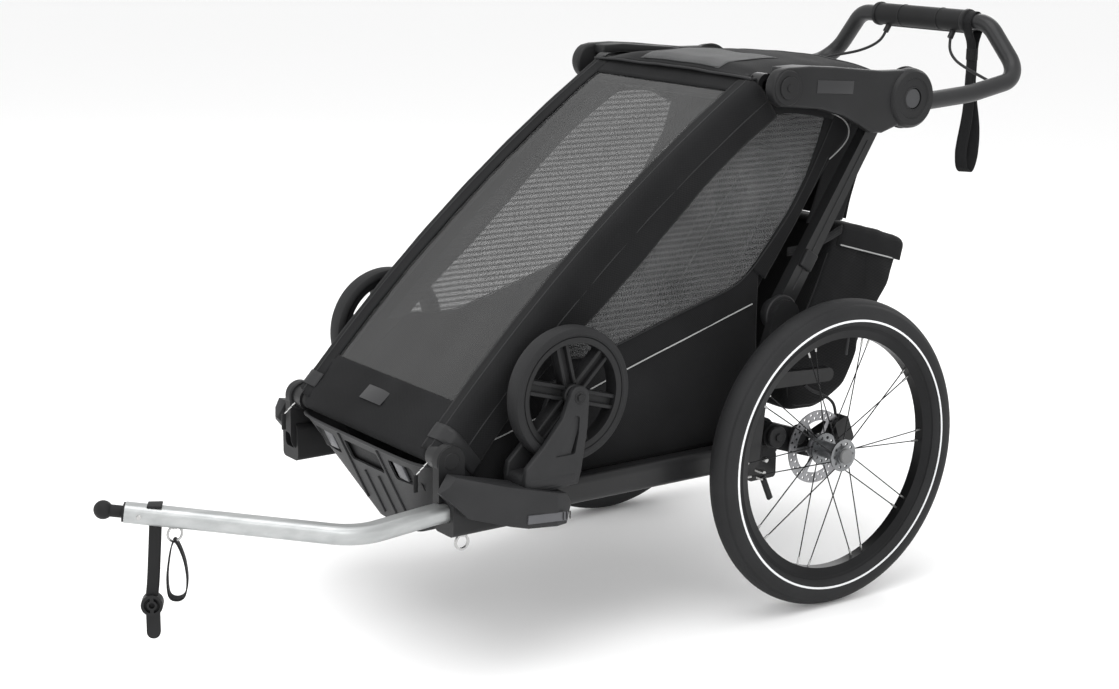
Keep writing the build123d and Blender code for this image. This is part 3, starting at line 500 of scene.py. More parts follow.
keptFinish = {
    "paint": ["side_rails", "front_crossbar", "axle_beam", "rear_brackets", "top_crossbar", "rear_struts",
              "suspension_arm_left", "suspension_arm_right", "pillar_left", "pillar_right"],
    "barPaint": ["handlebar"],
    "plastic": ["corner_receiver_left", "corner_receiver_right", "quarter_turn_lock", "brake_lever"],
    "lowerPlastic": ["floor_tray"],
    "grip": ["brake_housing"],
    "anodised": ["rim_left", "rim_right"],
    "hubAlloy": ["hub_left", "hub_right"],
    "rotorSteel": ["brake_rotor_left", "brake_rotor_right"],
    "capGrey": ["wheel_release_left", "wheel_release_right"],
    "buttonGrey": ["release_button_left", "release_button_right"],
    "brushed": ["tow_arm"],
    "boltSteel": ["hitch_pin"],
}
for finish, names in keptFinish.items():
    for name in names:
        nodes[name].data.materials.clear()
        nodes[name].data.materials.append(materials[finish])
        smooth(nodes[name], 30)
print("CAD finishes given")

sides = (("left", 1), ("right", -1))


# ---- Rear wheels

tyreShape = dict(width=0.047)


def buildTyre(side):
    outer, half = tyreRadius, tyreShape["width"] / 2
    middle = outer - half
    section = []
    for step in range(29):
        angle = math.radians(-58 + step * (296 / 28))
        section.append((half * math.cos(angle), middle + half * math.sin(angle)))
    inner = [(x * 0.83, middle + (r - middle) * 0.83) for x, r in reversed(section)]
    profile = [(wheelX + x, r) for x, r in section + inner]
    tyre = turnedShape("tyreBody" + side.title(), profile, (0, axleZ), 120)
    edit(tyre)
    bpy.ops.mesh.select_all(action="DESELECT")
    doneEditing()
    # Every other patch of the crown stands up as a low tread block
    centre = at(0, 0, axleZ)
    for face in tyre.data.polygons:
        spot = face.center - centre
        radius = math.hypot(spot.y, spot.z)
        turn = math.degrees(math.atan2(spot.z, spot.y)) % 6
        row = int(abs(face.center.x - wheelX) / 0.0052)
        shown = radius > outer - 0.0105 and 1.2 < (turn + (3 if row % 2 else 0)) % 6 < 5
        face.select = shown and face.normal.dot(spot) > 0
    bpy.ops.object.mode_set(mode="EDIT")
    bpy.ops.mesh.inset(thickness=0.0007, depth=0, use_even_offset=True)
    bpy.ops.transform.resize(value=(1.0, 1.0 - 0.0028, 1.0 - 0.0028), center_override=centre)
    doneEditing()
    return tyre


def buildBand(side, face):
    # The reflective line moulded round each sidewall
    radius, half = tyreRadius - 0.0325, 0.0016
    x = wheelX + face * 0.02215
    profile = [(x, radius - half), (x + face * 0.0011, radius - half), (x + face * 0.0006, radius + half),
               (x - face * 0.0006, radius + half)]
    return turnedShape("tyreBand%s%s" % (side.title(), "Outer" if face > 0 else "Inner"), profile, (0, axleZ), 120)


spokeShape = dict(pairs=10, radius=0.001, foot=0.0235, nipple=0.0019, nippleLength=0.013, rimReach=0.1895)


def buildSpokes():
    black, silver = [], []
    for number in range(2 * spokeShape["pairs"]):
        outerFlange = number % 2
        pair = 360 / spokeShape["pairs"] * (number // 2)
        lean = 9 if outerFlange else -9
        footX = 0.3195 if outerFlange else 0.2755
        footTurn, rimTurn = math.radians(pair + 2 * lean), math.radians(pair + lean / 3)
        foot = at(footX, spokeShape["foot"] * math.cos(footTurn), axleZ + spokeShape["foot"] * math.sin(footTurn))
        reach = spokeShape["rimReach"]
        tip = at(wheelX + (0.002 if outerFlange else -0.002), reach * math.cos(rimTurn), axleZ
                 + reach * math.sin(rimTurn))
        black.append(rod("spoke", foot, tip, spokeShape["radius"], 8))
        start = tip.lerp(foot, spokeShape["nippleLength"] / (tip - foot).length)
        silver.append(rod("nipple", start, tip, spokeShape["nipple"], 8))
        silver.append(rod("spokeHead", foot + Vector((0.0012, 0, 0)), foot - Vector((0.0012, 0, 0)), 0.0019, 10))
    return joined("spokeSet", black), joined("nippleSet", silver)


def buildWheelDetail():
    bolts = []
    for number in range(6):
        turn = math.radians(60 * number + 15)
        y, z = 0.019 * math.cos(turn), axleZ + 0.019 * math.sin(turn)
        bolts.append(disc("rotorBolt", (y, z), 0.0026, 0.2545, 0.2572, 12, 0.0006))
    return joined("rotorBolts", bolts)


tyre = buildTyre("left")
bands = [buildBand("left", 1), buildBand("left", -1)]
spokeSet, nippleSet = buildSpokes()
rotorBolts = buildWheelDetail()
valve = rod("valve", at(wheelX, 0.019, axleZ + 0.189), at(wheelX, 0.0155, axleZ + 0.158), 0.0028, 10)
wheelPieces = [(tyre, "tyreRubber", "tyre", ["tyre"]), (bands[0], "reflectWhite", "tyre", []),
               (bands[1], "reflectWhite", "tyre", []), (spokeSet, "spokeBlack", "spokes", ["spokes"]),
               (nippleSet, "boltSteel", "spokes", []), (rotorBolts, "boltSteel", "brake_rotor", []),
               (valve, "darkPiping", "tyre", [])]
for piece, material, name, replaced in wheelPieces:
    right = mirrored(piece, piece.name.replace("Left", "") + "Right")
    slots = {"tyre": "tyre_rubber", "spokes": "spoke_steel", "brake_rotor": "rotor_steel"}
    finished(piece, "wheel_left", material, slots[name], [node + "_left" for node in replaced])
    finished(right, "wheel_right", material, slots[name], [node + "_right" for node in replaced])
print("wheels made")

# ---- Lines and patches that the cloth pieces share

def bowPoint(share, above=0.0):
    # On the bowed pillar line, this share of the way up it and this far above it: (y, z)
    (y0, z0), (y1, z1) = frameLine["front"], frameLine["top"]
    length = math.hypot(y1 - y0, z1 - z0)
    up, along = ((z0 - z1) / length, (y1 - y0) / length), 4 * frameLine["bow"] * share * (1 - share)
    return (y0 + (y1 - y0) * share + up[0] * (along + above), z0 + (z1 - z0) * share + up[1] * (along + above))


def smoothLine(points, share, closed=False):
    # A point this share of the way along a rounded line that passes through its points
    count = len(points)
    runs = count if closed else count - 1
    spot = min(max(share, 0.0), 0.999999) * runs
    number, t = int(spot), spot - int(spot)
    pick = (lambda k: points[k % count]) if closed else (lambda k: points[min(max(k, 0), count - 1)])
    a, b, c, d = (Vector(pick(number + k)) for k in (-1, 0, 1, 2))
    return 0.5 * (2 * b + (c - a) * t + (2 * a - 5 * b + 4 * c - d) * t * t + (3 * b - a - 3 * c + d) * t ** 3)


def lineLength(points, closed=False, steps=200):
    spots = [smoothLine(points, k / steps, closed) for k in range(steps + 1)]
    return sum((b - a).length for a, b in zip(spots, spots[1:]))


def patchPoint(bottom, top, front, rear, u, v):
    # Fills the space between four lines that meet at their ends
    b, t, f, r = smoothLine(bottom, u), smoothLine(top, u), smoothLine(front, v), smoothLine(rear, v)
    corners = (bottom[0], bottom[-1], top[0], top[-1])
    c00, c10, c01, c11 = (Vector(corner) for corner in corners)
    flat = (1 - u) * (1 - v) * c00 + u * (1 - v) * c10 + (1 - u) * v * c01 + u * v * c11
    return (1 - v) * b + v * t + (1 - u) * f + u * r - flat


def ripple(point, size, seed=0.0):
    # A slow uneven wave for slack cloth, the same on each run
    x, y, z = point
    wave = math.sin(x * 31 + seed) * math.sin(y * 23 + z * 17 + 2 * seed) + 0.6 * math.sin(x * 67 - z * 41 + seed)
    return size * (wave + 0.4 * math.sin(y * 97 + z * 59 - seed))


def bend(points):
    return [Vector((y, z)) for y, z in points]


# ---- Front cover, its window and the sleeves over the pillars

coverSizes = dict(filmHalf=0.172, filmFrom=0.082, filmTo=0.962, lift=0.0142, wall=0.001)


def filmPlace(u, v):
    share = coverSizes["filmFrom"] + (coverSizes["filmTo"] - coverSizes["filmFrom"]) * v
    x = coverSizes["filmHalf"] * (2 * u - 1)
    sag = -0.004 * math.sin(math.pi * v) * (1 - (2 * u - 1) ** 2)
    return at(x, *bowPoint(share, coverSizes["lift"] + sag + ripple((x, share, 0), 0.0004)))


filmLength = 0.771 * (coverSizes["filmTo"] - coverSizes["filmFrom"]) + 0.003
film = curvedSheet("windowFilm", filmPlace, 24, 48, 2 * coverSizes["filmHalf"], filmLength)
thicken(film, 0.0007)
finished(film, "front_frame", "film", "film", ["window_film"])


def lowerCoverPlace(u, v):
    # Rolls up round the front crossbar, then runs on up the pillar line
    x = 0.187 * (2 * u - 1)
    if v < 0.3:
        turn = math.radians(132 + 110 * (1 - v / 0.3))
        y, z = frameLine["front"]
        return at(x, y + 0.0142 * math.cos(turn), z + 0.0142 * math.sin(turn))
    share = 0.1 * (v - 0.3) / 0.7
    return at(x, *bowPoint(share, coverSizes["lift"] + 0.001 + ripple((x, share * 4, 0), 0.0006)))


lowerCover = curvedSheet("coverFoot", lowerCoverPlace, 30, 20, 0.374, 0.115)
thicken(lowerCover, 0.0016)


def upperCoverPlace(u, v):
    x = 0.187 * (2 * u - 1)
    share = 0.95 + 0.055 * v
    return at(x, *bowPoint(share, coverSizes["lift"] + 0.001 + ripple((x, share * 4, 0), 0.0005)))


upperCover = curvedSheet("coverHead", upperCoverPlace, 30, 6, 0.374, 0.043)
thicken(upperCover, 0.0016)

sleeveSection = [(-0.032, 0.0152), (-0.021, 0.0156), (-0.012, 0.0166), (-0.004, 0.0172), (0.004, 0.016),
                 (0.01, 0.0118),
                 (0.0132, 0.0045), (0.0136, -0.006), (0.0118, -0.02), (0.0095, -0.036), (0.007, -0.052),
                 (0.0052, -0.062)]


def sleevePlace(first, last, grow):
    def place(u, v):
        step = u * (len(sleeveSection) - 1)
        number = min(int(step), len(sleeveSection) - 2)
        (x0, a0), (x1, a1) = sleeveSection[number], sleeveSection[number + 1]
        part = step - number
        x, above = x0 + (x1 - x0) * part, a0 + (a1 - a0) * part
        share = first + (last - first) * v
        slack = ripple((x * 3, share * 2, 0.3), 0.0005, 1.0)
        if above < 0:
            above += 0.006 * math.sin(share * 9) * (-above / 0.06)
        return at(frameLine["pillarX"] + x + slack + (grow if above < 0.01 else 0),
                  *bowPoint(share, above + (grow if above > 0 else 0)))
    return place


sleeve = curvedSheet("sleeve", sleevePlace(-0.004, 0.985, 0.0), 22, 70, 0.11, 0.77)
thicken(sleeve, 0.0014, 1)
collar = curvedSheet("sleeveCollar", sleevePlace(0.018, 0.05, 0.0016), 22, 4, 0.11, 0.025)
thicken(collar, 0.0016, 1)
ridgeLine = [at(frameLine["pillarX"] - 0.0085, *bowPoint(k / 14, 0.0182)) for k in range(15)]
ridge = asMesh(lineThrough("sleeveRidge", ridgeLine, 0.0014))
sideRidgeLine = [at(frameLine["pillarX"] + 0.0122, *bowPoint(k / 14, -0.021)) for k in range(15)]
sideRidge = asMesh(lineThrough("sleeveZip", sideRidgeLine, 0.0013))

for side, sign in sides:
    for piece, name, material in ((sleeve, "pillarSleeve", "blackCloth"), (collar, "pillarCollar", "lowerPlastic"),
                                  (ridge, "sleeveRidge", "darkPiping"), (sideRidge, "sleeveZip", "darkPiping")):
        own = copyOf(piece, name + "Left") if sign > 0 else mirrored(piece, name + "Right")
        finished(own, "front_frame", material, "black_fabric" if material == "blackCloth" else "frame_plastic")
finished(lowerCover, "front_frame", "blackCloth", "black_fabric", ["front_cover"])
finished(upperCover, "front_frame", "blackCloth", "black_fabric")
for piece in (sleeve, collar, ridge, sideRidge):
    bpy.data.objects.remove(piece)

patchPlace = bowPoint(0.052, 0.0168)
blankPatch = box("blankPatch", at(-0.012, *patchPlace), (0.062, 0.0016, 0.026), 0.0007)
turned(blankPatch, math.radians(-49), "X", at(-0.012, *patchPlace))
finished(blankPatch, "front_frame", "badge")
pulls = []
for sign in (1, -1):
    top = at(sign * 0.199, -0.6975, 0.322)
    links = [rod("link", top + Vector((0.001 * k, -0.007 * k, -0.005 * k)), top
                 + Vector((0.001 * k, -0.007 * k - 0.006, -0.005 * k - 0.004)), 0.0011, 8)
             for k in range(3)]
    pulls.append(joined("zipChain", links))
zipChains = joined("zipChains", pulls)
finished(zipChains, "front_frame", "boltSteel")
tabs = []
for sign in (1, -1):
    top = at(sign * 0.1995, -0.714, 0.304)
    tabs.append(box("tab", top + Vector((0, -0.004, -0.01)), (0.004, 0.007, 0.026), 0.0015))
zipTabs = joined("zipTabs", tabs)
finished(zipTabs, "front_frame", "grip")
print("front cover made")

# ---- Side fabric

windowFoot = bend([(-0.5, 0.44), (-0.452, 0.441), (-0.405, 0.44), (-0.356, 0.451), (-0.28, 0.473),
                   (-0.202, 0.495), (-0.128, 0.516), (-0.088, 0.545)])
windowRear = bend([(-0.088, 0.545), (-0.04, 0.597), (-0.003, 0.643), (0.034, 0.704), (0.066, 0.765)])
windowHead = bend([bowPoint(0.235, -0.028), bowPoint(0.4, -0.028), bowPoint(0.6, -0.028), bowPoint(0.8, -0.028),
                   (-0.12, 0.783), (-0.03, 0.8), (0.066, 0.795)])
panelX = 0.1905
slantedStrip = dict(least=0.32, covers=0.5)


def sidePatch(name, bottom, top, front, rear, columns, rows, x, puff, width, length):
    def place(u, v):
        y, z = patchPoint(bottom, top, front, rear, u, v)
        swell = puff * math.sin(math.pi * u) * math.sin(math.pi * v)
        return at(x + swell + ripple((0, y, z), 0.0008, 2.0), y, z)
    piece = curvedSheet(name, place, columns, rows, width, length)
    for corner, uv in zip(piece.data.loops, piece.data.uv_layers.active.data):
        spot = piece.data.vertices[corner.vertex_index].co
        uv.uv = (spot.y, spot.z)
    thicken(piece, 0.001)
    return piece


def areaOf(piece):
    return sum(face.area for face in piece.data.polygons) / 2


lowerSide = sidePatch(
    "sideSkirt", bend([(-0.655, 0.262), (-0.45, 0.262), (-0.25, 0.262), (-0.062, 0.262)]),
    bend([(-0.662, 0.316), (-0.585, 0.372), (-0.5, 0.44)]) + windowFoot[1:] + bend([(-0.0745, 0.56)]),
    bend([(-0.655, 0.262), (-0.66, 0.29), (-0.662, 0.316)]),
    bend([(-0.062, 0.262), (-0.074, 0.36), (-0.0775, 0.47), (-0.0745, 0.56)]), 60, 22, panelX, 0.006, 0.6, 0.25)
windowSide = sidePatch(
    "sideWindow", windowFoot, windowHead, bend([windowFoot[0], windowHead[0]]),
    windowRear[:-1] + bend([(0.062, 0.76), (0.066, 0.795)]), 60, 36, panelX + 0.0006, 0.005, 0.5, 0.35)
rearStrip = sidePatch(
    "sideRearStrip", bend([(-0.092, 0.54), (-0.064, 0.52)]), bend([(0.058, 0.795), (0.104, 0.785)]),
    bend([(-0.092, 0.54), (-0.046, 0.597), (-0.01, 0.643), (0.026, 0.704), (0.058, 0.795)]),
    bend([(-0.064, 0.52), (-0.028, 0.572), (0.022, 0.645), (0.064, 0.71), (0.104, 0.785)]), 6, 30, panelX + 0.0024,
    0.001, 0.04, 0.28)
headStrip = sidePatch(
    "sideHeadStrip", bend([(-0.215, 0.712), (-0.171, 0.75), (-0.102, 0.774), (-0.03, 0.782), (0.066, 0.766)]),
    bend([(-0.19, 0.755), (-0.145, 0.803), (-0.085, 0.841), (-0.02, 0.843), (0.104, 0.836)]),
    bend([(-0.215, 0.712), (-0.19, 0.755)]), bend([(0.066, 0.766), (0.104, 0.836)]), 24, 5, panelX + 0.0036, 0.001,
    0.28, 0.03)
sidePipingLine = [(-0.648, 0.321), (-0.6, 0.333), (-0.563, 0.341), (-0.47, 0.369), (-0.408, 0.389),
                  (-0.346, 0.409), (-0.285, 0.427), (-0.224, 0.444), (-0.157, 0.464), (-0.09, 0.483)]
sidePiping = asMesh(lineThrough("sidePiping", [at(panelX + 0.0062 - 0.003 * abs(2 * k / 9 - 1), *point) for k,
                                               point in enumerate(sidePipingLine)], 0.0011))
rearPipingLine = [(0.046, 0.782), (0.083, 0.77), (0.103, 0.749), (0.095, 0.724), (0.06, 0.703)]
rearPiping = asMesh(lineThrough("rearPiping", [at(panelX + 0.0062, *point) for point in rearPipingLine], 0.0011))
windowSeam = asMesh(lineThrough("windowSeam", [at(panelX + 0.0042, *smoothLine(windowFoot, k / 16))
                                               for k in range(1, 17)]
                                + [at(panelX + 0.0045, *smoothLine(windowRear, k / 10)) for k in range(1, 11)],
                                0.001))
wingPatch = sidePatch(
    "sideWing", bend([(0.02, 0.64), (0.05, 0.68), (0.062, 0.7)]),
    bend([(0.066, 0.795), (0.09, 0.79), (0.112, 0.78)]),
    bend([(0.02, 0.64), (0.05, 0.715), (0.066, 0.795)]), bend([(0.062, 0.7), (0.1, 0.735), (0.112, 0.78)]),
    8, 14, panelX + 0.001, 0.002, 0.05, 0.14)

for piece, name, material, slotName in (
        (lowerSide, "sideSkirt", "blackCloth", "black_fabric"), (windowSide, "sideWindow", "sideMesh", "mesh_fabric"),
        (rearStrip, "sideRearStrip", "blackCloth", "black_fabric"),
        (headStrip, "sideHeadStrip", "blackCloth", "black_fabric"),
        (wingPatch, "sideWing", "blackCloth", "black_fabric"), (sidePiping, "sidePiping", "piping", "grey_fabric"),
        (rearPiping, "rearPiping", "piping", "grey_fabric"),
        (windowSeam, "windowSeam", "darkPiping", "black_fabric")):
    area = areaOf(piece)
    for side, sign in sides:
        own = copyOf(piece, name + "Left") if sign > 0 else mirrored(piece, name + "Right")
        replaced = ["side_panel_" + side] if name == "sideWindow" else []
        finished(own, None, material, slotName, replaced)
        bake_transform(own)
        if name in ("sideSkirt", "sideWindow", "sideRearStrip", "sideHeadStrip", "sideWing"):
            low, high = (Vector([pick(v.co[k] for v in own.data.vertices) for k in range(3)]) for pick in (min, max))
            width, length = high.y - low.y, high.z - low.z
            share = area / (width * length)
            # A slanted strip's box says little, so its width is cut down until the piece covers half of it
            if share < slantedStrip["least"]:
                width = width * share / slantedStrip["covers"]
    bpy.data.objects.remove(piece)
print("side fabric made")

# ---- Canopy

canopySizes = dict(half=0.203, front=-0.113, rear=0.15, edgeZ=0.839, crownZ=0.8595)


def canopyPlace(u, v):
    x = canopySizes["half"] * (2 * u - 1)
    y = canopySizes["front"] + (canopySizes["rear"] - canopySizes["front"]) * v
    crown = canopySizes["crownZ"] - 0.01 * (1.6 * v - 0.7) ** 2 - (0.012 * max(0, 0.12 - v) / 0.12)
    edge = canopySizes["edgeZ"] - 0.004 * v
    lift = 1 - abs(2 * u - 1) ** 3.2
    return at(x, y, edge + (crown - edge) * lift + ripple((x, y, 0), 0.0009, 4.0))


canopy = curvedSheet("canopyCloth", canopyPlace, 44, 30, 0.41, 0.27)
thicken(canopy, 0.0018)
finished(canopy, "top_frame", "blackCloth", "black_fabric", ["canopy"])


def ventPlace(u, v):
    return canopyPlace(0.27 + 0.49 * u, 0.05 + 0.47 * v) + Vector((0, 0, 0.0016))


vent = curvedSheet("canopyVent", ventPlace, 24, 12, 0.2, 0.125)
thicken(vent, 0.0008)
finished(vent, "top_frame", "ventMesh", "grey_fabric")
ventSeam = asMesh(lineThrough("ventSeam", [ventPlace(0, k / 4) for k in range(5)]
                              + [ventPlace(k / 6, 1) for k in range(1, 7)]
                              + [ventPlace(1, 1 - k / 4) for k in range(1, 5)]
                              + [ventPlace(1 - k / 6, 0) for k in range(1, 6)], 0.0012, closed=True))
finished(ventSeam, "top_frame", "darkPiping")
canopyHem = [asMesh(lineThrough("canopyHem", [canopyPlace(edge, k / 8) + Vector((0, 0, 0.0006)) for k in range(9)],
                                0.0022)) for edge in (0, 1)]
canopyHem += [asMesh(lineThrough("canopyHem", [canopyPlace(k / 12, edge) + Vector((0, 0, 0.0006))
                                               for k in range(13)], 0.0022)) for edge in (0, 1)]
canopyHems = joined("canopyHems", canopyHem)
finished(canopyHems, "top_frame", "darkPiping")
print("canopy made")

# ---- Top housings

housingSizes = dict(inner=0.2405, outer=0.2615, edge=0.0055)


def roundedArc(centre, radius, start, end, steps):
    return [(centre[0] + radius * math.cos(math.radians(start + (end - start) * k / steps)),
             centre[1] + radius * math.sin(math.radians(start + (end - start) * k / steps)))
             for k in range(steps + 1)]


housingOutline = (roundedArc(frameLine["top"], 0.0305, 250, 115, 10)
                  + [(-0.088, 0.8605), (-0.045, 0.861), (0.01, 0.857), (0.06, 0.8515), (0.11, 0.8465)]
                  + roundedArc(hubCentre, 0.0455, 92, -118, 16)
                  + [(0.138, 0.7555), (0.112, 0.748), (0.09, 0.75), (0.062, 0.764), (0.028, 0.78),
                     (-0.02, 0.793), (-0.062, 0.7975)])
housing = slab("housing", housingOutline, housingSizes["inner"], housingSizes["outer"], housingSizes["edge"], 4)
flange = slab("housingFlange", [(-0.088, 0.844), (-0.045, 0.846), (0.06, 0.838), (0.1, 0.833),
                                (0.1, 0.844), (0.06, 0.8505), (-0.045, 0.86), (-0.086, 0.859)],
              0.2145, housingSizes["inner"] + 0.004, 0.003)
hubRing = turnedShape("hubRing", [(0.244, 0.017), (0.244, 0.0462), (0.2475, 0.0478), (0.255, 0.0482),
                                  (0.2625, 0.0468), (0.2668, 0.0425), (0.2672, 0.033),
                                  (0.2652, 0.0312), (0.2652, 0.0196), (0.2664, 0.0184), (0.266, 0.0168),
                                  (0.256, 0.0168)], hubCentre, 64)
capStep = joined("topCap", [disc("cap", frameLine["top"], 0.027, 0.2595, 0.264, 48, 0.0014),
                            disc("cap", frameLine["top"], 0.018, 0.2635, 0.2662, 40, 0.0009),
                            disc("cap", frameLine["top"], 0.006, 0.2655, 0.2675, 6, 0.0005)])
hubGroove = turnedShape("hubGroove", [(0.2425, 0.0462), (0.2425, 0.0492), (0.244, 0.0497), (0.2455, 0.0492),
                                      (0.2455, 0.0462)], hubCentre, 64)
badgePlate = box("badgePlate", at(0.2618, 0.006, 0.8265), (0.0014, 0.076, 0.02), 0.0006)
turned(badgePlate, math.radians(-4), "X", at(0.2618, 0.006, 0.8265))
for side, sign in sides:
    for piece, name, material in ((housing, "housingShell", "plastic"), (flange, "housingFlange", "plastic"),
                                  (hubRing, "hubRing", "plastic"),
                                  (capStep, "topCap", "plastic"), (hubGroove, "hubGroove", "lowerPlastic"),
                                  (badgePlate, "blankBadge", "badge")):
        own = copyOf(piece, name + "Left") if sign > 0 else mirrored(piece, name + "Right")
        finished(own, "top_frame", material, "frame_plastic",
                 ["top_housing_" + side] if name == "housingShell" else [])
for piece in (housing, flange, hubRing, capStep, hubGroove, badgePlate):
    bpy.data.objects.remove(piece)
print("housings made")
# ---- Cargo bag, its lid and the panel behind the seat

strutAngle = math.radians(56.86)


def offStrut(up, ahead):
    # Up the rear strut's line and ahead of it: (y, z)
    return (rearPivot[0] + up * math.cos(strutAngle) - ahead * math.sin(strutAngle),
            rearPivot[1] + up * math.sin(strutAngle) + ahead * math.cos(strutAngle))


bagSizes = dict(half=0.1745, corner=0.014, wall=0.002, wrinkle=0.002, sag=0.004)
bagSection = bend([(0.108, 0.588), (0.06, 0.484), (0.012, 0.376), (0.007, 0.33), (0.013, 0.293), (0.046, 0.286),
                   (0.086, 0.288),
                   (0.133, 0.312), (0.148, 0.35), (0.163, 0.388), (0.212, 0.453), (0.24, 0.52), (0.247, 0.547)])
bagMouth = Vector((0.178, 0.568))


def bagPlace(u, v):
    # Across the back wall, round a corner and in over the side wall to the middle of the mouth
    share, sign = abs(2 * v - 1), 1 if v > 0.5 else -1
    half, corner = bagSizes["half"], bagSizes["corner"]
    if share < 0.6:
        x, inset = (half - corner) * share / 0.6, 0.0
    elif share < 0.7:
        turn = math.pi / 2 * (share - 0.6) / 0.1
        x, inset = half - corner + corner * math.sin(turn), corner * (1 - math.cos(turn))
    else:
        part = (share - 0.7) / 0.3
        x, inset = half + 0.004 * math.sin(math.pi * part), corner + (0.15 - corner) * part
    y, z = bagMouth + (1 - inset / 0.15) * (smoothLine(bagSection, u) - bagMouth)
    slack = math.sin(math.pi * u) * (1 - share * 0.5)
    z -= bagSizes["sag"] * slack * (1 + math.cos(4 * math.pi * v)) / 2
    fold = ripple((sign * x, y * 1.4, z * 1.4), bagSizes["wrinkle"], 5.0) * min(1.0, 8 * u * (1 - u))
    return at(sign * x + 0.6 * fold, y + fold, z + 0.5 * fold)


bag = curvedSheet("cargoBagShell", bagPlace, 90, 110, 0.73, 0.62)
for corner, uv in zip(bag.data.loops, bag.data.uv_layers.active.data):
    spot = bag.data.vertices[corner.vertex_index].co
    uv.uv = (spot.x + 0.5 * spot.y, spot.z)
edit(bag)
bpy.ops.mesh.remove_doubles(threshold=0.0001)
doneEditing()
thicken(bag, bagSizes["wall"])
finished(bag, "chassis", "bagCloth", "black_fabric", ["cargo_bag"])
bagSeams = [asMesh(lineThrough("bagSeam", [bagPlace(k / 24, v) for k in range(1, 24)], 0.0016))
            for v in (0.175, 0.825)]
bagSeam = joined("bagSeams", bagSeams)
finished(bagSeam, "chassis", "darkPiping", "black_fabric")

lidSizes = dict(half=0.1815, length=0.156, skirt=0.036, slope=15.9, crown=0.007)
lidCentre = at(0, 0.1815, 0.5545)
clearSelection()
bpy.ops.mesh.primitive_cube_add(size=1)
lid = newest("cargoLidCloth")
edit(lid)
bpy.ops.transform.resize(value=(2 * lidSizes["half"], lidSizes["length"], lidSizes["skirt"]))
bpy.ops.mesh.select_all(action="DESELECT")
doneEditing()
for face in lid.data.polygons:
    face.select = face.normal.z < -0.9
bpy.ops.object.mode_set(mode="EDIT")
bpy.ops.mesh.delete(type="ONLY_FACE")
doneEditing()
roundEdges(lid, 0.013, 4)
edit(lid)
bpy.ops.mesh.subdivide(number_cuts=9)
bpy.ops.mesh.quads_convert_to_tris()
bpy.ops.mesh.tris_convert_to_quads()
doneEditing()
for vertex in lid.data.vertices:
    x, y, z = vertex.co
    rise = lidSizes["crown"] * (1 - (x / lidSizes["half"]) ** 2) * (1 - (2 * y / lidSizes["length"]) ** 2)
    fold = ripple((x * 1.3, y * 1.5, z), 0.0013, 7.0)
    vertex.co = (x + 0.5 * fold, y + 0.5 * fold, z + (rise if z > 0 else 0) + fold)
moved(lid, lidCentre)
turned(lid, math.radians(-lidSizes["slope"]), "X", lidCentre)
thicken(lid, 0.0018)
smooth(lid, 60)
finished(lid, "lid", "bagCloth", "black_fabric", ["cargo_lid"])


def lidHem(sign):
    half = lidSizes["half"] + 0.0012
    return [at(sign * half, 0.106, 0.557), at(sign * half, 0.16, 0.5415), at(sign * half, 0.215, 0.526),
            at(sign * (half - 0.004), 0.244, 0.518)]


hems = [asMesh(lineThrough("lidHem", lidHem(sign), 0.0013)) for sign in (1, -1)]
hem = joined("lidHems", hems)
finished(hem, "lid", "piping", "grey_fabric")


def rearPanelPlace(u, v):
    up = -0.158 + 0.474 * v
    dip = 0.0025 * math.sin(math.pi * u) * math.sin(math.pi * v)
    x = 0.179 * (2 * u - 1)
    return at(x, *offStrut(up, 0.0155 + dip + ripple((x, up, 0), 0.0008, 3.0)))


rearPanel = curvedSheet("rearPanelCloth", rearPanelPlace, 36, 44, 0.358, 0.474)
thicken(rearPanel, 0.0016)
finished(rearPanel, "chassis", "blackCloth", "black_fabric", ["rear_panel"])
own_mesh(rearPanel)


def hoodPlace(u, v):
    line = bend([(0.146, 0.838), (0.15, 0.79), (0.143, 0.711), (0.124, 0.65), (0.11, 0.6)])
    y, z = smoothLine(line, v)
    x = 0.184 * (2 * u - 1)
    return at(x, y + 0.004 * (2 * u - 1) ** 2 + ripple((x, z, 0), 0.0012, 6.0), z)


hood = curvedSheet("rearHoodCloth", hoodPlace, 36, 30, 0.368, 0.245)
thicken(hood, 0.0014)
finished(hood, "chassis", "blackCloth", "black_fabric")
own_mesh(hood)
gusset = sidePatch(
    "hoodGusset", bend([(0.028, 0.6), (0.108, 0.598)]), bend([(0.09, 0.79), (0.146, 0.832)]),
    bend([(0.028, 0.6), (0.06, 0.68), (0.09, 0.79)]), bend([(0.108, 0.598), (0.141, 0.711), (0.146, 0.832)]),
    10, 26, 0.182, 0.0, 0.08, 0.24)
for side, sign in sides:
    own = copyOf(gusset, "hoodGussetLeft") if sign > 0 else mirrored(gusset, "hoodGussetRight")
    finished(own, "chassis", "blackCloth", "black_fabric")
    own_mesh(own)
bpy.data.objects.remove(gusset)
print("bag made")

# ---- Front skirt

skirtSizes = dict(footZ=0.1665, headZ=0.3105, wall=0.0028, square=5.0, lean=25.5)


def skirtFront(z):
    return -0.632 - 0.069 * (z - skirtSizes["footZ"]) / (skirtSizes["headZ"] - skirtSizes["footZ"])


def skirtPlace(u, v):
    turn = 2 * math.pi * u
    rise = max(0.0, (v - 0.22) / 0.78)
    grow = min(1.0, v / 0.16)
    half = 0.062 + 0.124 * rise
    front, rear = -0.632 - 0.069 * rise, -0.588 - 0.039 * rise
    c, s = math.cos(turn), math.sin(turn)
    power = 2 / skirtSizes["square"]
    x = half * grow * math.copysign(abs(c) ** power, c)
    y = (front + rear) / 2 + (rear - front) / 2 * grow * math.copysign(abs(s) ** power, s)
    edge = 0.004 * (1 - grow) if v < 0.16 else 0.0
    return at(x, y, skirtSizes["footZ"] + edge + rise * (skirtSizes["headZ"] - skirtSizes["footZ"]))


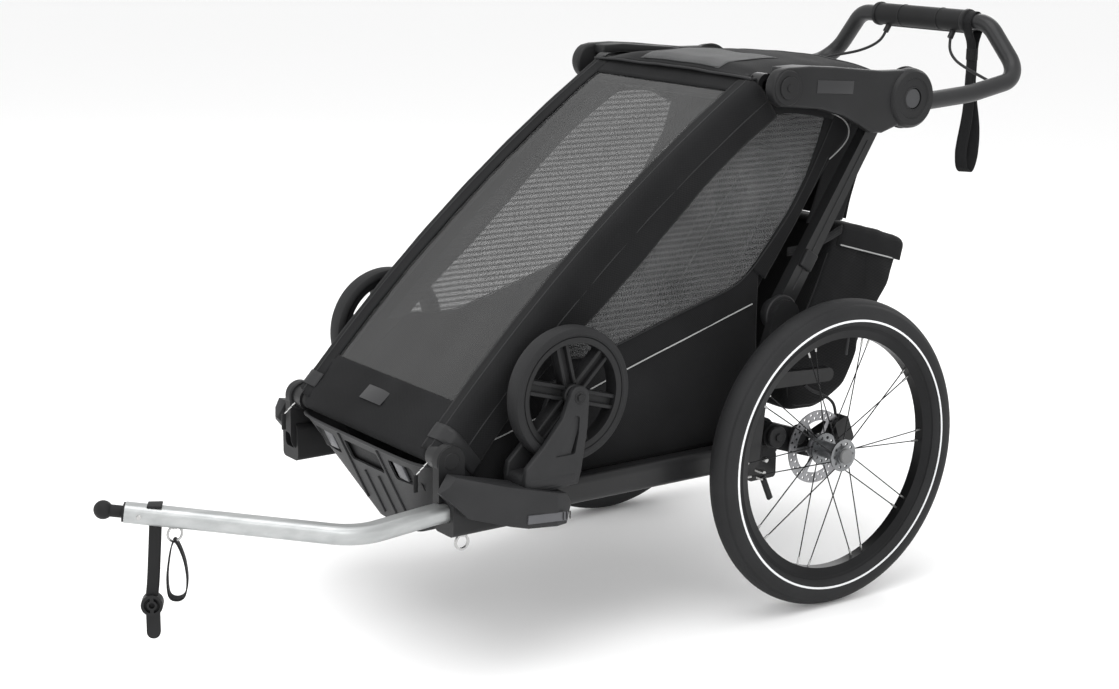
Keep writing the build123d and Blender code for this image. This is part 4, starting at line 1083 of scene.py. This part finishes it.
skirt = curvedSheet("skirtShell", skirtPlace, 112, 28, 1, 1)
faceOutwards(skirt)
thicken(skirt, skirtSizes["wall"], -1)
cutters = []
for x, width in ((-0.112, 0.062), (0.0, 0.098), (0.112, 0.062)):
    spot = at(x, skirtFront(0.281), 0.281)
    cutters.append(turned(box("slotCut", spot, (width, 0.014, 0.036), 0.005), math.radians(skirtSizes["lean"]), "X",
                          spot))
cutter = joined("slotCutters", cutters)
modify(skirt, "BOOLEAN", object=cutter, operation="DIFFERENCE")
bpy.data.objects.remove(cutter)
smooth(skirt, 30)
finished(skirt, "chassis", "lowerPlastic", "lower_plastic", ["front_bumper"])
backs, patches, ribs = [], [], []
for x, width in ((-0.112, 0.062), (0.0, 0.098), (0.112, 0.062)):
    spot = at(x, skirtFront(0.281) + 0.0085, 0.281)
    backs.append(turned(box("slotBack", spot, (width + 0.008, 0.002, 0.044), 0.0006),
                        math.radians(skirtSizes["lean"]), "X", spot))
    if x:
        spot = at(x - math.copysign(0.008, x), skirtFront(0.283) + 0.0045, 0.283)
        patches.append(turned(box("slotPatch", spot, (0.026, 0.004, 0.03), 0.001), math.radians(skirtSizes["lean"]),
                              "X", spot))
for x, low, high in ((-0.058, 0.196, 0.306), (0.058, 0.196, 0.306), (-0.02, 0.18, 0.252), (0.02, 0.18, 0.252)):
    ribs.append(asMesh(lineThrough("skirtRib", [at(x, skirtFront(z) - 0.0004, z)
                                                for z in (low, (low + high) / 2, high)], 0.0022)))
rim = [skirtPlace(k / 48, 1) for k in range(48)]
ribs.append(asMesh(lineThrough("skirtRim", rim, 0.0024, closed=True)))
for group, name, material in ((backs, "skirtSlotBacks", "grip"), (patches, "skirtPatches", "reflectGrey"),
                              (ribs, "skirtRibs", "lowerPlastic")):
    finished(joined(name, group), "chassis", material, "lower_plastic")
print("front skirt made")

# ---- Docks, stroller forks and wheels

rollerSizes = dict(half=0.0155, outer=0.1012, inner=0.086, rim=0.0775, hub=0.0165, spokeHalf=0.01,
                   spokeWide=0.0058, apart=0.0082)
half = rollerSizes["half"]
rollerTyre = turnedShape("rollerTyre", [
    (casterX - half, 0.09), (casterX - half, 0.0955), (casterX - half + 0.0022, 0.0992),
    (casterX - half + 0.006, 0.1008), (casterX - 0.004, rollerSizes["outer"]),
    (casterX + 0.004, rollerSizes["outer"]), (casterX + half - 0.006, 0.1008), (casterX + half - 0.0022, 0.0992),
    (casterX + half, 0.0955), (casterX + half, 0.09),
    (casterX + half - 0.0015, 0.0885), (casterX + half - 0.0015, rollerSizes["inner"]),
    (casterX - half + 0.0015, rollerSizes["inner"]), (casterX - half + 0.0015, 0.0885)],
    casterCentre, 96)
rollerRim = turnedShape("rollerRim", [
    (casterX - 0.0125, rollerSizes["rim"]), (casterX - 0.014, rollerSizes["rim"] + 0.003),
    (casterX - 0.014, 0.0872), (casterX + 0.014, 0.0872),
    (casterX + 0.014, rollerSizes["rim"] + 0.003), (casterX + 0.0125, rollerSizes["rim"]),
    (casterX, rollerSizes["rim"] - 0.001)], casterCentre, 96)
rollerParts = [rollerRim, disc("rollerHub", casterCentre, rollerSizes["hub"], casterX - 0.015, casterX + 0.015, 48,
                               0.002),
               disc("rollerHubStep", casterCentre, 0.01, casterX - 0.0168, casterX + 0.0168, 32, 0.001)]
for number in range(6):
    for offset in (-1, 1):
        spot = at(casterX, casterCentre[0] + offset * rollerSizes["apart"], casterCentre[1] + 0.0465)
        bar = box("rollerSpoke", spot, (2 * rollerSizes["spokeHalf"], rollerSizes["spokeWide"], 0.068), 0.0015, 2)
        rollerParts.append(turned(bar, math.radians(60 * number + 14), "X", at(casterX, *casterCentre)))
    spot = at(casterX, casterCentre[0], casterCentre[1] + 0.0465)
    web = box("rollerWeb", spot, (0.005, 2 * rollerSizes["apart"], 0.066), 0.0006, 1)
    rollerParts.append(turned(web, math.radians(60 * number + 14), "X", at(casterX, *casterCentre)))
rollerBody = joined("rollerBody", rollerParts)
forkSoft = softened("stroller_fork_left", "forkShell", 0.0022)
dockSoft = softened("dock_left", "dockShell", 0.0035)
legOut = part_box("stroller_fork_left")[1].x
plateOutline = ([(-0.586, 0.279), (-0.494, 0.279), (-0.489, 0.296), (-0.478, 0.36), (-0.4755, 0.404)]
                + roundedArc((casterCentre[0], casterCentre[1]), 0.0172, -8, 168, 10)
                + [(-0.523, 0.38), (-0.556, 0.342), (-0.585, 0.315), (-0.588, 0.296)])
legFace = slab("forkPlate", plateOutline, legOut - 0.0085, legOut + 0.0022, 0.0026, 3)
slotCut = slab("forkCut", [(-0.536, 0.325), (-0.501, 0.325), (-0.4945, 0.356), (-0.493, 0.38),
                           (-0.502, 0.383)], legOut - 0.03, legOut + 0.02, 0.003, 2)
modify(legFace, "BOOLEAN", object=slotCut, operation="DIFFERENCE")
bpy.data.objects.remove(slotCut)
smooth(legFace, 30)
legInner = copyOf(legFace, "forkInner")
moved(legInner, (-2 * (legOut - casterX) + 0.0063, 0, 0))
legFace = joined("forkPlate", [legFace, legInner])
axleBolt = joined("forkBolt", [disc("forkWasher", casterCentre, 0.0095, legOut, legOut + 0.0036, 40, 0.0008),
                               disc("forkHex", casterCentre, 0.006, legOut + 0.0028, legOut + 0.006, 6, 0.0006)])
crownCup = box("forkCrown", at(casterX, -0.54, 0.29), (0.06, 0.094, 0.024), 0.009, 4)
strip = box("dockStrip", at(0.2985, -0.556, 0.241), (0.003, 0.07, 0.013), 0.0008)
turned(strip, math.radians(-4.5), "X", at(0.2985, -0.556, 0.241))
stripRibs = [box("dockStripRib", at(0.3002, -0.53 + 0.006 * k, 0.2395), (0.002, 0.0016, 0.012), 0.0004, 1)
             for k in range(3)]
stripRib = joined("dockStripRibs", stripRibs)
for side, sign in sides:
    for piece, name, body, material, slotName, replaced in (
            (rollerTyre, "rollerTyre", "roller_", "smallTyre", "tyre_rubber", "stroller_wheel_"),
            (rollerBody, "rollerHub", "roller_", "plastic", "frame_plastic", ""),
            (forkSoft, "forkShell", "fork_", "lowerPlastic", "lower_plastic", "stroller_fork_"),
            (legFace, "forkPlate", "fork_", "lowerPlastic", "lower_plastic", ""),
            (axleBolt, "forkBolt", "fork_", "plastic", "frame_plastic", ""),
            (dockSoft, "dockShell", "chassis", "lowerPlastic", "lower_plastic", "dock_"),
            (crownCup, "forkCrown", "fork_", "lowerPlastic", "lower_plastic", ""),
            (strip, "dockStrip", "chassis", "reflectGrey", "cap_grey", ""),
            (stripRib, "dockStripRibs", "chassis", "lowerPlastic", "lower_plastic", "")):
        own = copyOf(piece, name + "Left") if sign > 0 else mirrored(piece, name + "Right")
        finished(own, body + side if body.endswith("_") else body, material, slotName,
                 [replaced + side] if replaced else [])
for piece in (rollerTyre, rollerBody, forkSoft, legFace, axleBolt, dockSoft, crownCup, strip, stripRib):
    bpy.data.objects.remove(piece)
print("stroller wheels made")

# ---- Hitch

armTip = at(0.109, -1.121, 0.3)
armWay = Vector((0.4921, 0.8603, -0.1333)).normalized()
across = armWay.cross(Vector((0, 0, 1))).normalized()
postTop, postFoot = armTip + armWay * 0.0405 + Vector((0, 0, -0.015)), at(0.1248, -1.0933, 0.1682)
retainerLine = [postTop + Vector((0, 0, 0.004)), postTop.lerp(postFoot, 0.35), postTop.lerp(postFoot, 0.7), postFoot
                + Vector((0, 0, 0.012))]


def retainerPlace(u, v):
    turn = 2 * math.pi * u
    return smoothLine(retainerLine, v) + armWay * (0.0085 * math.copysign(abs(math.cos(turn)) ** 0.4,
        math.cos(turn))) + across * (0.0052 * math.copysign(abs(math.sin(turn)) ** 0.4, math.sin(turn)))


post = curvedSheet("retainerPost", retainerPlace, 40, 30, 0.05, 0.1)
edit(post)
bpy.ops.mesh.remove_doubles(threshold=0.00005)
bpy.ops.mesh.select_all(action="DESELECT")
bpy.ops.mesh.select_non_manifold()
bpy.ops.mesh.edge_face_add()
bpy.ops.mesh.select_all(action="SELECT")
bpy.ops.mesh.normals_make_consistent(inside=False)
doneEditing()
smooth(post, 40)
slabTop = box("retainerSlab", armTip + armWay * 0.0405 + Vector((0, 0, 0.0146)), (0.024, 0.02, 0.0036), 0.0012)
turned(slabTop, math.atan2(armWay.y, armWay.x) - math.pi / 2, "Z", armTip + armWay * 0.0405)
eyeLoop = disc("retainerEye", (-1.0933, 0.1682), 0.014, 0.1248 - 0.004, 0.1248 + 0.004, 40, 0.0012)
turned(eyeLoop, math.atan2(-0.4965, 0.868), "Z", postFoot)
retainer = joined("retainerRubber", [post, slabTop, eyeLoop])
finished(retainer, "chassis", "grip", "retainer_rubber", ["retainer_strap"])
ringCentre = armTip + armWay * 0.066 + Vector((0, 0, -0.0235))
clearSelection()
bpy.ops.mesh.primitive_torus_add(major_radius=0.0105, minor_radius=0.0017, major_segments=40, minor_segments=10)
ring = newest("strapRing")
edit(ring)
bpy.ops.transform.rotate(value=math.radians(90), orient_axis="Y", center_override=(0, 0, 0))
bpy.ops.transform.translate(value=ringCentre)
doneEditing()
smooth(ring, 60)
eye = rod("eyeBolt", ringCentre + Vector((0, 0, 0.007)), ringCentre + Vector((0, 0, 0.016)), 0.0032, 16)
ringSet = joined("strapRings", [ring, eye])
finished(ringSet, "chassis", "boltSteel", "bolt_steel")
loopShape = [(0.0, -0.0085), (0.007, -0.02), (0.013, -0.04), (0.015, -0.065), (0.011, -0.086),
             (0.0, -0.093), (-0.01, -0.088), (-0.012, -0.064), (-0.009, -0.038), (-0.005, -0.018)]
loopLine = [ringCentre + armWay * shift + Vector((0, 0, drop)) for shift, drop in loopShape]


def loopPlace(u, v):
    return smoothLine(loopLine, v, closed=True) + across * (0.019 * (u - 0.5))


loopLength = lineLength(loopLine, True)
loopStrap = curvedSheet("safetyWebbing", loopPlace, 4, 90, 0.019, loopLength)
edit(loopStrap)
bpy.ops.mesh.remove_doubles(threshold=0.0001)
bpy.ops.mesh.normals_make_consistent(inside=False)
doneEditing()
thicken(loopStrap, 0.002)
finished(loopStrap, "chassis", "webbing", "strap_webbing", ["safety_strap"])
rivetSpot = armTip + armWay * 0.02 + Vector((0, 0, -0.0005))
rivet = rod("armRivet", rivetSpot - across * 0.0172, rivetSpot + across * 0.0172, 0.0036, 20)
roundEdges(rivet, 0.001, 2)
finished(rivet, "chassis", "boltSteel", "bolt_steel")
plugEnd = rod("armPlug", armTip - armWay * 0.002, armTip + armWay * 0.003, 0.0122, 32)
finished(plugEnd, "chassis", "grip", "frame_plastic")
for node, finish in (("tow_ball", "grip"), ("rear_reflectors", "reflectRed")):
    nodes[node].data.materials.clear()
    nodes[node].data.materials.append(materials[finish])
    smooth(nodes[node], 30)
print("hitch made")

# ---- Joints, brackets and suspension

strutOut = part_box("rear_struts")[1].x
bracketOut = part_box("rear_brackets")[1].x
details = [
    (joined("frontKnob", [turnedShape("frontKnob", [(0.212, 0.0), (0.212, 0.0215), (0.214, 0.0235),
        (0.227, 0.0235), (0.229, 0.0215), (0.229, 0.0165), (0.2275, 0.0155), (0.2275, 0.0)], frameLine["front"],
        64),
                          disc("frontKnobCap", frameLine["front"], 0.0135, 0.2265, 0.231, 48, 0.0014)]),
                          "frontKnob", "chassis", "plastic", "frame_plastic"),
    (turnedShape("foldRing", [(strutOut - 0.004, 0.024), (strutOut - 0.004, 0.0325), (strutOut + 0.003, 0.0325),
                              (strutOut + 0.0046, 0.0305), (strutOut + 0.0046, 0.025), (strutOut + 0.003, 0.024)],
                              rearPivot, 64),
     "foldRing", "chassis", "plastic", "frame_plastic"),
    (joined("foldCap", [disc("foldCap", rearPivot, 0.0215, strutOut - 0.002, strutOut + 0.0035, 48, 0.0014),
                        disc("foldCap", rearPivot, 0.0125, strutOut + 0.003, strutOut + 0.0056, 40, 0.0009)]),
     "foldCap", "chassis", "buttonGrey", "frame_plastic"),
    (asMesh(lineThrough("strutGroove", [at(strutOut + 0.0002, *offStrut(up, 0.0))
                                        for up in (0.045, 0.13, 0.22, 0.315)], 0.0013)), "strutGroove", "struts",
                                        "darkPiping", "frame_plastic"),
    (turned(box("strutClip", at(strutOut + 0.002, *offStrut(0.098, 0.0)), (0.008, 0.026, 0.03), 0.003),
            strutAngle - math.pi / 2, "X", at(strutOut + 0.002, *offStrut(0.098, 0.0))),
     "strutClip", "struts", "plastic", "frame_plastic"),
    (joined("pivotBoss", [disc("pivotBoss", (-0.081, 0.277), 0.0175, bracketOut - 0.006, bracketOut + 0.003, 48,
                               0.0015),
                          disc("pivotHex", (-0.081, 0.277), 0.0068, bracketOut + 0.0025, bracketOut + 0.0066, 6,
                               0.0006)]), "pivotBoss", "chassis", "plastic", "frame_plastic"),
    (disc("elastomer", (-0.034, 0.273), 0.0165, bracketOut - 0.01, bracketOut + 0.002, 48, 0.003), "elastomer",
     "chassis", "grip", "retainer_rubber"),
    (joined("bracketPins", [disc("bracketPin", (-0.104, 0.243), 0.004, bracketOut - 0.004, bracketOut + 0.003, 20,
                                 0.0006), disc("bracketPin", (-0.106, 0.222), 0.0032, bracketOut - 0.02, bracketOut
                                               + 0.001, 20, 0.0006),
                            box("bracketClip", at(bracketOut - 0.006, -0.106, 0.212), (0.014, 0.012, 0.004),
                                0.001)]), "bracketPins", "chassis", "boltSteel", "bolt_steel"),
    (turned(box("parkLever", at(bracketOut - 0.002, -0.099, 0.196), (0.006, 0.01, 0.044), 0.002), math.radians(24),
            "X", at(bracketOut - 0.002, -0.099, 0.196)), "parkLever", "chassis", "plastic", "frame_plastic"),
]
for piece, name, body, material, slotName in details:
    for side, sign in sides:
        own = copyOf(piece, name + "Left") if sign > 0 else mirrored(piece, name + "Right")
        finished(own, body, material, slotName)
    bpy.data.objects.remove(piece)


def strapPlace(path, width):
    # A strap along a line through points, with its width across the trailer
    def place(u, v):
        spot = smoothLine(path, v)
        return spot + Vector((width * (u - 0.5), 0, 0))
    return place


tieLine = [at(0.196, -0.022, 0.56), at(0.189, 0.03, 0.562), at(0.184, 0.075, 0.572), at(0.178, 0.112, 0.582)]


def tiePlace(u, v):
    return smoothLine(tieLine, v) + Vector((0, 0, 0.014 * (u - 0.5)))


tie = curvedSheet("bagTie", tiePlace, 2, 18, 0.014, 0.14)
thicken(tie, 0.0014)
for side, sign in sides:
    own = copyOf(tie, "bagTieLeft") if sign > 0 else mirrored(tie, "bagTieRight")
    finished(own, "chassis", "webbing", "strap_webbing")
bpy.data.objects.remove(tie)
print("joint details made")

# ---- Brake housing, cables and wrist strap

collars = [turnedShape("gripCollar", [(x, 0.015), (x, 0.0202), (x + sign * 0.002, 0.0212),
                                      (x + sign * 0.007, 0.0206), (x + sign * 0.0085, 0.0175), (x + sign * 0.0085,
                                          0.015)], barHigh, 48)
           for x, sign in ((0.103, 1), (-0.103, -1))]
collars += [turnedShape("gripRib", [(x - 0.0012, 0.0185), (x - 0.0012, 0.0198), (x + 0.0012, 0.0198),
                                    (x + 0.0012, 0.0185)], barHigh, 48) for x in (-0.046, 0.046)]
cableBosses = [rod("cableBoss", at(sign * 0.078, 0.452, 0.888), at(sign * 0.079, 0.442, 0.872), 0.0052, 20)
               for sign in (1, -1)]
collarSet = joined("gripCollars", collars + cableBosses)
finished(collarSet, "push_bar", "plastic", "soft_grip")

cableRoutes = {
    "brakeCable": ([(0.078, 0.446, 0.882), (0.08, 0.44, 0.863), (0.093, 0.43, 0.848), (0.118, 0.419, 0.836),
                    (0.146, 0.41, 0.829), (0.174, 0.402, 0.823), (0.214, 0.396, 0.813)],
                   "brake_cables", "push_bar", "loose"),
    "lowerCable": ([(0.247, -0.02, 0.3525), (0.2475, -0.008, 0.342), (0.249, 0.012, 0.334), (0.251, 0.033, 0.322),
                    (0.2518, 0.043, 0.309), (0.252, 0.045, 0.293)],
                   "lower_brake_cables", "chassis", "loose"),
}
for name, (route, node, body, lay) in cableRoutes.items():
    for side, sign in sides:
        points = [at(sign * x, y, z) for x, y, z in route]
        cable = lineThrough(name + side.title(), points, 0.0025, 4)
        cable.data.resolution_u = 12
        measured = copyOf(cable, "measured")
        measured.data.bevel_depth = 0
        choose(measured)
        bpy.ops.object.convert(target="MESH")
        spots = [tuple(vertex.co) for vertex in bpy.context.active_object.data.vertices]
        length = sum((Vector(b) - Vector(a)).length for a, b in zip(spots, spots[1:]))
        bpy.data.objects.remove(bpy.context.active_object)
        facts = dict(exit=tuple(points[0]), length=round(length, 4), diameter=0.005, far_end="object",
                     stiffness="medium", lay=lay)
        if name == "lowerCable":
            cable = asMesh(cable)
            facts["path"] = spots
        finished(cable, body, "darkPiping", "soft_grip", [node])
        if name == "lowerCable":
            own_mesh(cable)
        print(name, side, "length", round(length, 4))


wristLine = [at(0.119, y, z) for y, z in (
    (0.455, 0.919), (0.4715, 0.904), (0.467, 0.884), (0.46, 0.862), (0.4585, 0.82), (0.459, 0.77),
    (0.468, 0.715), (0.47, 0.675), (0.462, 0.648), (0.452, 0.644),
    (0.443, 0.658), (0.442, 0.695), (0.45, 0.755), (0.4545, 0.818), (0.453, 0.862), (0.444, 0.884),
    (0.4385, 0.904))]


def wristPlace(u, v):
    spot = smoothLine(wristLine, v, closed=True)
    low = min(1.0, max(0.0, (0.8 - spot.z) / 0.12))
    turn = math.radians(35) * low
    offset = 0.02 * (u - 0.5)
    return spot + Vector((offset * math.cos(turn), offset * math.sin(turn), 0)) + Vector((0.004 * math.sin(low * 3),
        0, 0))


wristLength = lineLength(wristLine, True)
wrist = curvedSheet("wristWebbing", wristPlace, 4, 150, 0.02, wristLength)
edit(wrist)
bpy.ops.mesh.remove_doubles(threshold=0.0001)
bpy.ops.mesh.normals_make_consistent(inside=False)
doneEditing()
thicken(wrist, 0.0016)
finished(wrist, "push_bar", "webbing", "strap_webbing", ["wrist_strap"])
stitch = box("wristStitch", at(0.119, 0.4562, 0.846), (0.0215, 0.0085, 0.02), 0.0015)
finished(stitch, "push_bar", "webbing", "strap_webbing")
print("bar pieces made")

# ---- Seat and harness

padSizes = dict(voxel=0.005, pressure=4.0, frames=20, swell=0.007, channel=0.0055, channelHalf=0.006, deepest=0.6)


def swollenPad(name, width, length, thick, place, channels):
    # Swells by a cloth simulation in a flat place, gets its sewn channels and is then laid in place
    pad = box(name, (0, 0, 0), (width, length, thick), thick * 0.3, 3)
    pad.data.remesh_voxel_size = padSizes["voxel"]
    choose(pad)
    bpy.ops.object.voxel_remesh()
    start = [vertex.co.copy() for vertex in pad.data.vertices]
    cloth = pad.modifiers.new("Cloth", "CLOTH")
    cloth.settings.use_pressure = True
    cloth.settings.uniform_pressure_force = padSizes["pressure"]
    cloth.settings.effector_weights.gravity = 0
    cloth.point_cache.frame_start = 1
    cloth.point_cache.frame_end = padSizes["frames"]
    for number in range(1, padSizes["frames"] + 1):
        bpy.context.scene.frame_set(number)
    choose(pad)
    bpy.ops.object.modifier_apply(modifier=cloth.name)
    for vertex, first in zip(pad.data.vertices, start):
        shift = vertex.co - first
        if shift.length > padSizes["swell"]:
            vertex.co = first + shift * (padSizes["swell"] / shift.length)
    bpy.context.scene.frame_set(1)
    for vertex in pad.data.vertices:
        x, y, z = vertex.co
        dent = 0.0
        for axis, spot, reach in channels:
            gap = (x if axis == "x" else y) - spot
            dent += padSizes["channel"] * math.exp(-(gap / padSizes["channelHalf"]) ** 2) if abs(y if axis == "x" else x) < reach else 0.0
        vertex.co.z = z - math.copysign(min(dent, abs(z) * padSizes["deepest"]), z)
    subdivide(pad)
    for vertex in pad.data.vertices:
        vertex.co = place(*vertex.co)
    faceOutwards(pad)
    smooth(pad, 180)
    return pad


def backPlace(x, y, z):
    return at(x, *offStrut(0.043 + y, 0.0505 + z))


def basePlace(x, y, z):
    return at(x, -0.29 + y, 0.316 + z + 0.018 * (y / 0.28))


seatBack = swollenPad("seatBackPad", 0.306, 0.424, 0.016, backPlace,
                      [("y", 0.12, 0.14), ("y", 0.01, 0.14), ("y", -0.1, 0.14), ("x", -0.085, 0.19),
                       ("x", 0.085, 0.19)])
seatBase = swollenPad("seatBasePad", 0.306, 0.266, 0.024, basePlace, [("y", 0.05, 0.14), ("y", -0.045, 0.14)])
for piece, node, fill in ((seatBack, "seat_back", 0.5), (seatBase, "seat_base", 0.6)):
    finished(piece, "chassis", "greyCloth", "grey_fabric", [node])
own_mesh(seatBack)

for side, sign in sides:
    for name, width, path in (
            ("shoulderStrap", 0.036, [at(sign * 0.052, *offStrut(0.2, 0.066)),
                                      at(sign * 0.052, *offStrut(0.12, 0.072)),
                                      at(sign * 0.05, *offStrut(0.02, 0.073)),
                                      at(sign * 0.046, *offStrut(-0.055, 0.074))]),
            ("shoulderWebbing", 0.022, [at(sign * 0.046, *offStrut(-0.05, 0.076)), at(sign * 0.038, -0.185, 0.42),
                                        at(sign * 0.028, -0.225, 0.386), at(sign * 0.018, -0.256, 0.366)]),
            ("lapWebbing", 0.024, [at(sign * 0.14, -0.176, 0.344), at(sign * 0.1, -0.212, 0.352),
                                   at(sign * 0.06, -0.24, 0.358), at(sign * 0.022, -0.26, 0.362)])):
        place = strapPlace(path, width)
        if name == "lapWebbing":
            def place(u, v, path=path, width=width):
                return smoothLine(path, v) + Vector((0, 0.3, 0.95)).normalized() * (width * (u - 0.5))
        strap = curvedSheet(name + side.title(), place, 4, 40, width, lineLength(path))
        thicken(strap, 0.004 if name == "shoulderStrap" else 0.0018)
        finished(strap, "chassis", "webbing", "strap_webbing")
        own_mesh(strap)
crotchLine = [at(0, -0.3, 0.336), at(0, -0.292, 0.346), at(0, -0.278, 0.356), at(0, -0.262, 0.361)]
crotch = curvedSheet("crotchWebbing", strapPlace(crotchLine, 0.026), 4, 16, 0.026, lineLength(crotchLine))
thicken(crotch, 0.0018)
finished(crotch, "chassis", "webbing", "strap_webbing")
buckle = box("harnessBuckle", at(0, -0.262, 0.366), (0.05, 0.042, 0.014), 0.005, 4)
finished(buckle, "chassis", "plastic", "frame_plastic", ["harness"])
print("seat made")


# ---- Floor, light and camera

def plainFinish(name, colour, roughness):
    material, tree, shader, place = newMaterial(name)
    shader.inputs["Base Color"].default_value = (*colour, 1)
    shader.inputs["Roughness"].default_value = roughness
    return material


clearSelection()
bpy.ops.mesh.primitive_plane_add(size=60, location=(0, 0, 0))
floor = newest("paleFloor")
floor.data.materials.append(plainFinish("pale floor", (0.93, 0.93, 0.93), 0.85))

world = bpy.data.worlds.new("softRoom")
bpy.context.scene.world = world
world.use_nodes = True
world.node_tree.nodes["Background"].inputs["Color"].default_value = (1, 1, 1, 1)
world.node_tree.nodes["Background"].inputs["Strength"].default_value = 1.0

lamps = (
    ("overhead", (0.6, -0.8, 4.2), (0, 0.1, 0.4), 3.4, 95),
    ("nearSide", (4.2, -1.4, 2.2), (0, 0.1, 0.5), 2.6, 60),
    ("noseSide", (-1.6, -4.4, 2.0), (0, 0, 0.5), 2.6, 42),
    ("behind", (-2.2, 3.6, 2.6), (0, 0, 0.5), 2.4, 40),
)
for name, place, target, size, power in lamps:
    clearSelection()
    bpy.ops.object.light_add(type="AREA", location=place)
    lamp = bpy.context.active_object
    lamp.name = name
    lamp.data.size = size
    lamp.data.energy = power
    lamp.rotation_euler = (Vector(target) - Vector(place)).to_track_quat("-Z", "Y").to_euler()

cameraView = dict(place=at(2.5738, -2.16428, 1.15307), azimuth=54.46, elevation=13.24, roll=0.61, lens=65.3)
clearSelection()
bpy.ops.object.camera_add(location=cameraView["place"])
camera = bpy.context.active_object
camera.name = "frontLeftView"
azimuth, elevation = math.radians(cameraView["azimuth"]), math.radians(cameraView["elevation"])
back = Vector((math.sin(azimuth) * math.cos(elevation), -math.cos(azimuth) * math.cos(elevation),
               math.sin(elevation)))
aim = (-back).to_track_quat("-Z", "Y")
camera.rotation_mode = "QUATERNION"
camera.rotation_quaternion = Quaternion(back, math.radians(cameraView["roll"])) @ aim
camera.data.lens = cameraView["lens"]
camera.data.sensor_width = 36
camera.data.clip_end = 100
bpy.context.scene.camera = camera
bpy.context.scene.view_settings.view_transform = "Standard"

print("whole scene made")
